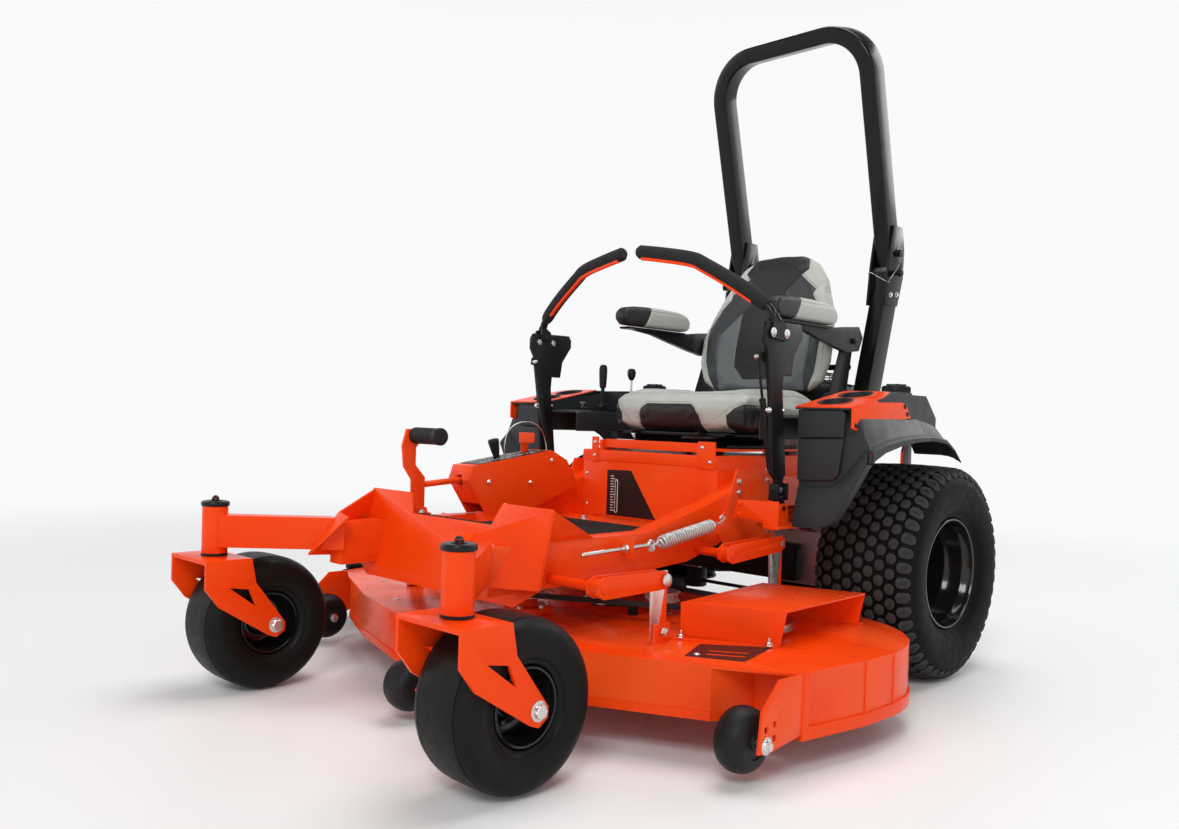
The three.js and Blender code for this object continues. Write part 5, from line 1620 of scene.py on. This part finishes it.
def console_screws(bm):
    """Screws on the console's inner side and the pedal's collars."""
    for y, z in ((-700, 560), (-930, 505), (-780, 500), (-870, 440)):
        bolt(bm, (CONSOLE_X + 42, y, z), LEFT, 6.5)
    for x in (-8, 8):
        lathe(bm, (PEDAL_X + x * 1.9, -1140, 430), (x, 0, 0), [(11, 0), (11, 4), (9, 5), (0, 5)], 20)


def stop_wire(bm):
    """Springy retaining wire that loops over the stop."""
    points = []
    for i in range(15):
        angle = math.radians(205 - i * 17)
        points.append((CONSOLE_X + 10 + 4 * math.sin(i), -772 + 82 * math.cos(angle),
                       592 + 74 * math.sin(angle)))
    tube(bm, points, 1.1, 8, 3)


PEDAL_X = -222


def pedal_grip(bm):
    """Rubber sleeve with raised bands and a rounded end on the pedal's stub."""
    profile = [(17.3, 4), (20, 5), (20.6, 8)]
    for i in range(9):
        x = 12 + i * 9
        profile += [(20.6, x), (19.4, x + 1.2), (19.4, x + 2.6), (20.6, x + 3.8)]
    profile += [(20.6, 100), (21.6, 102), (21.6, 108), (19, 112), (0, 113)]
    lathe(bm, (PEDAL_X, -1156, 626), LEFT, profile, 32)


def rod_ends(bm):
    """Pin and welded eye of the push rod."""
    rod(bm, (CONSOLE_X - 9, -1126, 500.4), (CONSOLE_X + 9, -1126, 500.4), 11, 20)
    lathe(bm, (CONSOLE_X + 8.4, -1126, 500.4), LEFT, [(6, 0), (6, 4), (0, 4.6)], 20)
    prism(bm, "x", [(-1010, 500), (-960, 504), (-956, 520), (-1006, 517)], CONSOLE_X - 4, CONSOLE_X + 4)


add("foot_mat", foot_mat, RUBBER_MAT, "root", edge=0.8)
add("platform_bolts", platform_bolts, ZINC, "root")
add("dial_plate", dial_plate, LABEL, "root")
add("dial_marks", dial_marks, WHITE_PRINT, "root")
add("console_knob", console_knob, BLACK_PLASTIC, "root")
add("console_tab", console_tab, ORANGE, "root", edge=1.2)
add("console_screws", console_screws, ZINC, "root")
add("stop_wire", stop_wire, ZINC, "root")
add("pedal_grip", pedal_grip, BLACK_PLASTIC, "pedal")
add("push_rod_ends", rod_ends, ORANGE, "pedal_rod")


# ---- Seat base front ----
def base_decal(bm):
    """Dark shape on the seat base's front."""
    prism(bm, "y", [(-146, 404), (38, 404), (-56, 536), (-146, 534)], -520.9, -520.2)


def base_marks(bm):
    """Graduations of the height gauge and the light field round its slot."""
    for i in range(14):
        z = 418 + i * 7.6
        width = 17 if i % 3 == 0 else 12
        box(bm, (-132, -521.3, z - 1), (-132 + width, -520.8, z + 1))
    prism(bm, "y", rounded_at(-109, 460, 5.2, 48, 5), -521.6, -520.8)


def rounded_at(u, v, half_u, half_v, radius):
    """A rounded rectangle round a place."""
    return [(u + a, v + b) for a, b in rounded(half_u, half_v, radius)]


def base_slot(bm):
    """Dark slot in the gauge."""
    prism(bm, "y", rounded_at(-109, 460, 3.2, 45, 3), -522, -521.3)


def base_brackets(bm):
    """Upright end brackets of the hinge bar and the folded stiffener between them."""
    for x0, x1 in ((-206, -182), (182, 238)):
        box(bm, (x0, -526, 556), (x1, -520.4, 628))
    box(bm, (-243, -523.5, 560), (243, -520.2, 588))


def base_bolts(bm):
    """Heads on the seat base's front and sides."""
    for x, z in ((-194, 612), (-194, 574), (196, 612), (222, 574), (226, 430), (-228, 430), (-228, 520)):
        dome(bm, (x, -525.5 if z > 540 else -520, z), (0, -1, 0), 6, 3.4)
    for y, z in ((-500, 528), (-500, 500), (-372, 528), (-360, 392)):
        bolt(bm, (298.2, y, z), LEFT, 7.5)
        bolt(bm, (-298.2, y, z), (-1, 0, 0), 7.5)


def stand_shield(bm):
    """Folded plate in front of each lever's foot, joined to the side of the frame."""
    prism(bm, "y", [(314, 440), (407.5, 440), (407.5, 421), (451, 420), (451, 490), (330, 486)], -546,
          -542.5)
    box(bm, (408, -543, 424.5), (451, -474, 427.5))
    for z in (450, 476):
        bolt(bm, (336, -546, z), (0, -1, 0), 6)


add_pair("stand_shield", stand_shield, ORANGE, "root", edge=0.7)
add("base_decal", base_decal, LABEL, "root")
add("base_marks", base_marks, WHITE_PRINT, "root")
add("base_slot", base_slot, LABEL, "root")
add("base_brackets", base_brackets, ORANGE, "root", edge=1)
add("base_bolts", base_bolts, ZINC, "root")


# ---- Deck ----
SPINDLES = ((500, -690), (0, -965), (-500, -690))
DECK_ARC = [(500 + 318 * math.cos(t), -650 + 318 * math.sin(t))
            for t in [math.pi / 2 * i / 12 for i in range(13)]]
DECK_EDGE = [(785, -956), (816, -760)] + DECK_ARC
DECK_NOSE = [(0, -1250), (150, -1250), (420, -1160), (640, -1056), (676, -956)]


def deck_lip(bm):
    """Reinforcing strip welded round the skirt's lower edge, the weld seams above it and the front strip."""
    sweep(bm, [(x, y, 78) for x, y in DECK_EDGE], [(3.8, 13), (-3.8, 13), (-3.8, -13), (3.8, -13)], UP)
    sweep(bm, [(x, y, 99) for x, y in DECK_NOSE], [(2.6, 9), (-2.6, 9), (-2.6, -9), (2.6, -9)], UP)
    prism(bm, "z", [(783, -958), (790, -958), (793, -940), (786, -938)], 66, 199.5)
    for x, y in ((787, -942), (816, -764), (818, -648)):
        rod(bm, (x + 0.4, y, 92), (x + 0.4, y, 198), 1.7, 8)


def deck_decal(bm):
    """Dark shape on the deck, with two slots that let the paint show."""
    sheet(bm, "z", [(553, -1033), (663, -975), (626, -822), (505, -917)],
          [[(574, -988), (640, -944), (637, -934), (570, -978)],
           [(560, -958), (626, -912), (623, -902), (556, -948)]], 200.05, 200.5)


def deck_studs(bm):
    """Cover bolts with long studs, and the round heads on the deck's top."""
    for x, y in ((452, -917), (622, -828), (420, -498), (600, -434)):
        lathe(bm, (x, y, 204.6), UP, [(10, 0), (10, 1.6), (8.4, 2), (8.4, 7), (7, 8), (3.6, 8), (3.6, 16),
                                      (2.6, 17), (0, 17)], 6)
    for x, y in ((300, -1140), (560, -1000), (240, -700), (300, -600)):
        dome(bm, (x, y, 199.8), UP, 8, 4)


def casting_screws(bm):
    """Screws round each spindle's casting and the nut on its shaft."""
    for spindle in SPINDLES:
        for x, y in disc(*spindle, 56, 6):
            lathe(bm, (x, y, 213.8), UP, [(7, 0), (7, 5), (6, 6), (0, 6.4)], 6)
        lathe(bm, (*spindle, 268), UP, [(12, 0), (12, 8), (10, 9.6), (0, 10)], 6)


def scalp_bolts(bm):
    """Washer, head and nut of the anti-scalp roller's axle."""
    lathe(bm, SCALP_AXLE + Vector((43, 0, 0)), LEFT, [(17, 0), (17, 1.2), (15.6, 1.8), (0, 1.8)], 28)
    dome(bm, SCALP_AXLE + Vector((44.6, 0, 0)), LEFT, 14, 7, 28)
    lathe(bm, SCALP_AXLE - Vector((52.5, 0, 0)), (-1, 0, 0), [(13, -2), (13, 8), (11, 9.4), (0, 9.6)], 6)


def idlers(bm):
    """Two idler pulleys with the heads of their bolts."""
    for x, y in ((250, -742), (150, -850)):
        lathe(bm, (x, y, 0), UP, [(0, 226), (14, 226), (14, 238), (44, 238), (47, 240), (40, 244), (40, 256),
                                  (47, 260), (44, 262), (16, 262), (14, 266), (0, 266)], 48)
        lathe(bm, (x, y, 265.5), UP, [(10, 0), (10, 3.5), (8, 4), (0, 4)], 6)


def deck_sheave(bm):
    """Wide pressed pulley on each outer spindle, under its belt cover."""
    rim = [(84, 0), (86, 1.5), (72, 8), (72, 10), (86, 16.5), (84, 18), (62, 11), (62, 7)]
    lathe(bm, (*SPINDLES[0], 210), UP, rim, 48, closed=True)


FAN = (228, -20)


def cooling_fan(bm):
    """Bladed fan and its belt pulley under each transaxle."""
    lathe(bm, (*FAN, 0), UP, [(0, 192), (30, 192), (34, 196), (34, 213), (0, 213)], 32)
    lathe(bm, (*FAN, 0), UP, [(88, 172), (90, 174), (90, 180), (76, 185), (90, 190), (88, 192), (0, 192),
                              (0, 172)], 40)
    rise = Vector((0, 0, 15))
    for c, s in spokes(18):
        out, side = Vector((c, s, 0)), Vector((-s, c, 0))
        foot = Vector((*FAN, 196)) + out * 33
        tip = foot + out * 60 + side * 12
        plate(bm, [foot, tip, tip + rise, foot + rise], 3)


def drive_pulley(bm):
    """Engine's clutch and double pulley, and the belt that runs from it to both fans."""
    lathe(bm, (0, 310, 0), UP, [(0, 170), (64, 170), (66, 173), (54, 180), (66, 187), (64, 190), (40, 194),
                                (40, 236), (66, 238), (68, 246), (68, 292), (62, 298), (34, 300), (34, 452),
                                (0, 452)], 40)
    path = [(-30, 352, 180), (30, 352, 180), (316, -24, 180), (228, -112, 180), (-228, -112, 180),
            (-316, -24, 180)]
    rounded_path = []
    for i, corner in enumerate(path):
        before, after = Vector(path[i - 1]), Vector(path[(i + 1) % len(path)])
        corner = Vector(corner)
        near, far = corner + (before - corner).normalized() * 40, corner + (after - corner).normalized() * 40
        rounded_path += [near.lerp(corner, t).lerp(corner.lerp(far, t), t) for t in (0, 0.25, 0.5, 0.75, 1)]
    loops = [[bm.verts.new(p + Vector(q)) for q in ((0, 0, -5), (0, 0, 5))] for p in rounded_path]
    middle = Vector((0, 100, 180))
    inner = [[bm.verts.new(v.co + (middle - v.co).normalized() * 9) for v in pair] for pair in loops]
    for i in range(len(loops)):
        j = (i + 1) % len(loops)
        a, b, c, d = loops[i], loops[j], inner[i], inner[j]
        bm.faces.new((a[0], a[1], b[1], b[0]))
        bm.faces.new((c[1], c[0], d[0], d[1]))
        bm.faces.new((a[1], c[1], d[1], b[1]))
        bm.faces.new((c[0], a[0], b[0], d[0]))


def cross_member(bm):
    """Pressed channel between the rails, ahead of the transaxles."""
    section = [(-134, 226), (-98, 226), (-98, 232), (-128, 232), (-128, 326), (-98, 326), (-98, 332),
               (-134, 332)]
    prism(bm, "x", section, -242, 242)


def idler_arm(bm):
    """Flat arm that carries both idlers, on its pivot."""
    plate(bm, [(232, -760, 223), (268, -724, 223), (168, -832, 223), (132, -868, 223)], 6)
    rod(bm, (200, -790, 200), (200, -790, 224), 13, 24)


BELT_RADIUS, BELT_Z, BELT_STEPS = 58.5, 250, 14
BELT_SECTION = ((4.5, 6.6), (-4.5, 4.2), (-4.5, -4.2), (4.5, -6.6))


def belt(bm):
    """V belt round the three spindle pulleys."""
    points = []
    for i, (x, y) in enumerate(SPINDLES):
        before, after = SPINDLES[i - 1], SPINDLES[(i + 1) % len(SPINDLES)]
        ways = [math.atan2(y - before[1], x - before[0]), math.atan2(after[1] - y, after[0] - x)]
        start, end = ways[0] + math.pi / 2, ways[1] + math.pi / 2
        while end > start:
            end -= 2 * math.pi
        while end < start - 2 * math.pi:
            end += 2 * math.pi
        for k in range(BELT_STEPS + 1):
            angle = start + (end - start) * k / BELT_STEPS
            c, s = math.cos(angle), math.sin(angle)
            points.append(Vector((x + BELT_RADIUS * c, y + BELT_RADIUS * s, BELT_Z)))
    loops = []
    total = len(points)
    for i, here in enumerate(points):
        tangent = (points[(i + 1) % total] - points[i - 1]).normalized()
        out = Vector((-tangent.y, tangent.x, 0))
        loops.append([bm.verts.new(here + out * u + Vector((0, 0, v))) for u, v in BELT_SECTION])
    for i in range(total):
        bridge(bm, loops[i - 1], loops[i])


add_pair("deck_lip", deck_lip, ORANGE, "deck", edge=0.8)
add("deck_decal", deck_decal, LABEL, "deck")
add_pair("deck_studs", deck_studs, ZINC, "deck")
add("casting_screws", casting_screws, ZINC, "deck")
add_pair("scalp_bolts", scalp_bolts, ZINC, "deck")
add_pair("deck_sheave", deck_sheave, ZINC, "cutter_")
add_pair("cooling_fan", cooling_fan, BLACK_PLASTIC, "root")
add("cross_member", cross_member, SATIN_BLACK, "root", edge=1.5)
add("drive_pulley", drive_pulley, SATIN_BLACK, "root")
add("idler_pulleys", idlers, ZINC, "deck")
add("idler_arm", idler_arm, SATIN_BLACK, "deck", edge=1)
add("deck_belt", belt, HOSE, "deck")


def link_pins(bm):
    """Large zinc pin heads with eased rims at the lift arms' tips."""
    lathe(bm, (FRONT_TIP, -976, 337), LEFT, [(15, 0), (15, 2), (13, 3.4), (0, 3.6)], 32)


def hanger_bolts(bm):
    """Bolts of the deck's hanger straps."""
    for x, y in HANGERS:
        lathe(bm, (x + 16, y, 224), LEFT, [(12, 0), (12, 1.6), (9.6, 2), (9.6, 8), (8, 9), (0, 9.2)], 6)


add_pair("front_link_pins", link_pins, ZINC, "lift_front")
add_pair("hanger_bolts", hanger_bolts, ZINC, "deck")


# ---- Engine, drives and rear ----
CRANK = (0, 300)


def engine_shroud(bm):
    """Turned cowl with cooling fins round its crown."""
    lathe(bm, (*CRANK, 0), UP, [(0, 692), (172, 692), (175, 696), (175, 722), (171, 728), (171, 752),
                                (174, 758), (172, 784), (164, 804), (150, 813),
                                 (126, 816), (124, 822), (110, 824), (0, 824)], 72)
    for c, s in spokes(24):
        plate(bm, [(r * c, 300 + r * s, z) for r, z in ((132, 812), (164, 803), (164, 812), (132, 818))], 4)


def engine_screen(bm):
    """Domed wire screen over the flywheel."""
    place = (*CRANK, 0)
    for r, z in ((108, 826), (106, 834), (104, 842), (96, 849), (84, 852), (70, 853), (56, 853), (42, 853)):
        lathe(bm, place, UP, [(r, z - 1.6), (r + 1.6, z), (r, z + 1.6), (r - 1.6, z)], 56, closed=True)
    for c, s in spokes(20):
        tube(bm, [(r * c, 300 + r * s, z) for r, z in ((108, 822), (105, 840), (94, 850), (70, 853.5),
                                                       (34, 853.5))], 1.4, 6, 2)
    lathe(bm, place, UP, [(0, 824), (34, 824), (34, 854), (30, 857), (0, 858)], 40)


def air_cleaner(bm):
    """Lying canister with an end cap and two clamp bands."""
    profile = [(0, -152), (52, -152), (56, -149), (57, -140), (60, -136), (60, -96), (61.6, -94),
               (61.6, -88), (60, -86), (60, 96), (57, 104), (48, 140), (44, 148), (0, 150)]
    lathe(bm, (0, 395, 758.6), LEFT, profile, 56)
    for x in (-110, 60):
        lathe(bm, (x, 395, 758.6), LEFT, [(61.4, 0), (62, 1), (62, 9), (61.4, 10)], 56, closed=False)


def engine_block(bm):
    """Ribbed crankcase and two finned cylinders with their rocker covers."""
    lathe(bm, (*CRANK, 0), UP, [(0, 541.8), (118, 541.8), (120, 545), (120, 560), (112, 566), (112, 600),
                                (106, 606), (106, 660), (120, 668), (120, 690), (0, 690)], 56)
    for c, s in spokes(12, 0.5):
        plate(bm, [(r * c, 300 + r * s, z) for r, z in ((104, 566), (117, 562), (117, 668), (104, 664))], 5)
    for sign in (1, -1):
        start, end = Vector((sign * 40, 320, 621.6)), Vector((sign * 185, 395, 621.6))
        along = (end - start).normalized()
        u, v = frame_at(along)
        rod(bm, start, end - along * 22, 38, 32)
        for i in range(9):
            centre = start + along * (58 + i * 9.4)
            corners = [centre + u * a * 54 + v * b * 54 for a, b in rounded(1, 1, 0.35, 3)]
            plate(bm, corners, 3.2)
        cover = end - along * 8
        for depth, grow in ((0, 50), (12, 46)):
            corners = [cover + along * depth + u * a * grow + v * b * grow for a,
                       b in rounded(1, 0.8, 0.3, 3)]
            plate(bm, corners, 12)


def engine_pipes(bm):
    """Exhaust pipes into the muffler and the thinner intake pipes above them."""
    exhaust = [(120, 380, 590), (118, 420, 575), (96, 446, 568), (60, 455, 572)]
    intake = [(196, 398, 640), (204, 380, 664), (190, 340, 684), (168, 320, 696)]
    for line, radius, sides in ((exhaust, 14, 16), (intake, 4, 10)):
        for sign in (1, -1):
            tube(bm, [(sign * x, y, z) for x, y, z in line], radius, sides, 5)


def muffler(bm):
    """Bevelled box with pressed ribs across its rear."""
    bevelled = [(-138, 536), (138, 536), (150, 550), (150, 628), (138, 642), (-138, 642), (-150, 628),
                (-150, 550)]
    prism(bm, "y", bevelled, 458, 500)
    for z in (560, 580, 600, 620):
        prism(bm, "y", [(-120, z - 3), (120, z - 3), (120, z + 3), (-120, z + 3)], 499, 503)


def hydro_details(bm):
    """Cooling fan, oil filter and housing bolts of each drive."""
    lathe(bm, (215, 40, 420), UP, [(0, 0), (16, 0), (16, 10), (12, 12), (0, 12)], 32)
    spot = Vector((215, 40, 427))
    blade = ((14, -7, -3), (54, -14, -5), (54, 12, 5), (14, 6, 3))
    for c, s in spokes(8):
        plate(bm, [spot + Vector((c * r - s * w, s * r + c * w, h)) for r, w, h in blade], 1.6)
    rod(bm, (168, -60, 214), (168, -60, 150), 36, 32, 4)
    for y in (-70, 80):
        for x in (160, 300):
            bolt(bm, (x, y, 370), UP, 8)


def hydro_hoses(bm):
    """Two hoses from each transaxle up to the tank."""
    tube(bm, [(180, -60, 372), (182, -70, 400), (200, -110, 432), (216, -170, 446)], 9, 14, 6)
    tube(bm, [(290, 70, 372), (292, 90, 400), (286, 160, 430), (270, 200, 446)], 8, 14, 6)


add("engine_cowl", engine_shroud, BLACK_PLASTIC, "root", ["engine_shroud"])
add("engine_screen", engine_screen, SATIN_BLACK, "root")
add("air_cleaner", air_cleaner, BLACK_PLASTIC, "root")
add("engine_castings", engine_block, CAST, "root", ["engine_block"], edge=0.8)
add("engine_pipes", engine_pipes, SATIN_BLACK, "root")
add("muffler", muffler, SATIN_BLACK, "root", edge=3)
add_pair("hydro_details", hydro_details, BLACK_PLASTIC, "root")
add_pair("hydro_hoses", hydro_hoses, HOSE, "root")


# ---- Discharge chute ----
def chute_ribs(bm):
    """Stiffening ribs of the deflector and the tube of its hinge."""
    for y in (-900, -830, -760, -690, -620):
        plate(bm, [(-834, y, 192), (-1000, y, 119), (-1000, y, 124), (-834, y, 200)], 6)
    rod(bm, (-826, -950, 204), (-826, -570, 204), 8.6, 20)


def chute_spring(bm):
    """Spring wound round the deflector's hinge."""
    helix = [(-826 + 11.4 * math.cos(t), -800 + t * 1.15, 204 + 11.4 * math.sin(t))
             for t in [i * math.pi / 8 for i in range(16 * 11)]]
    sweep(bm, helix, circle(1.6, 8))


add("chute_ribs", chute_ribs, BLACK_PLASTIC, "chute", edge=1)
add("chute_spring", chute_spring, ZINC, "chute")
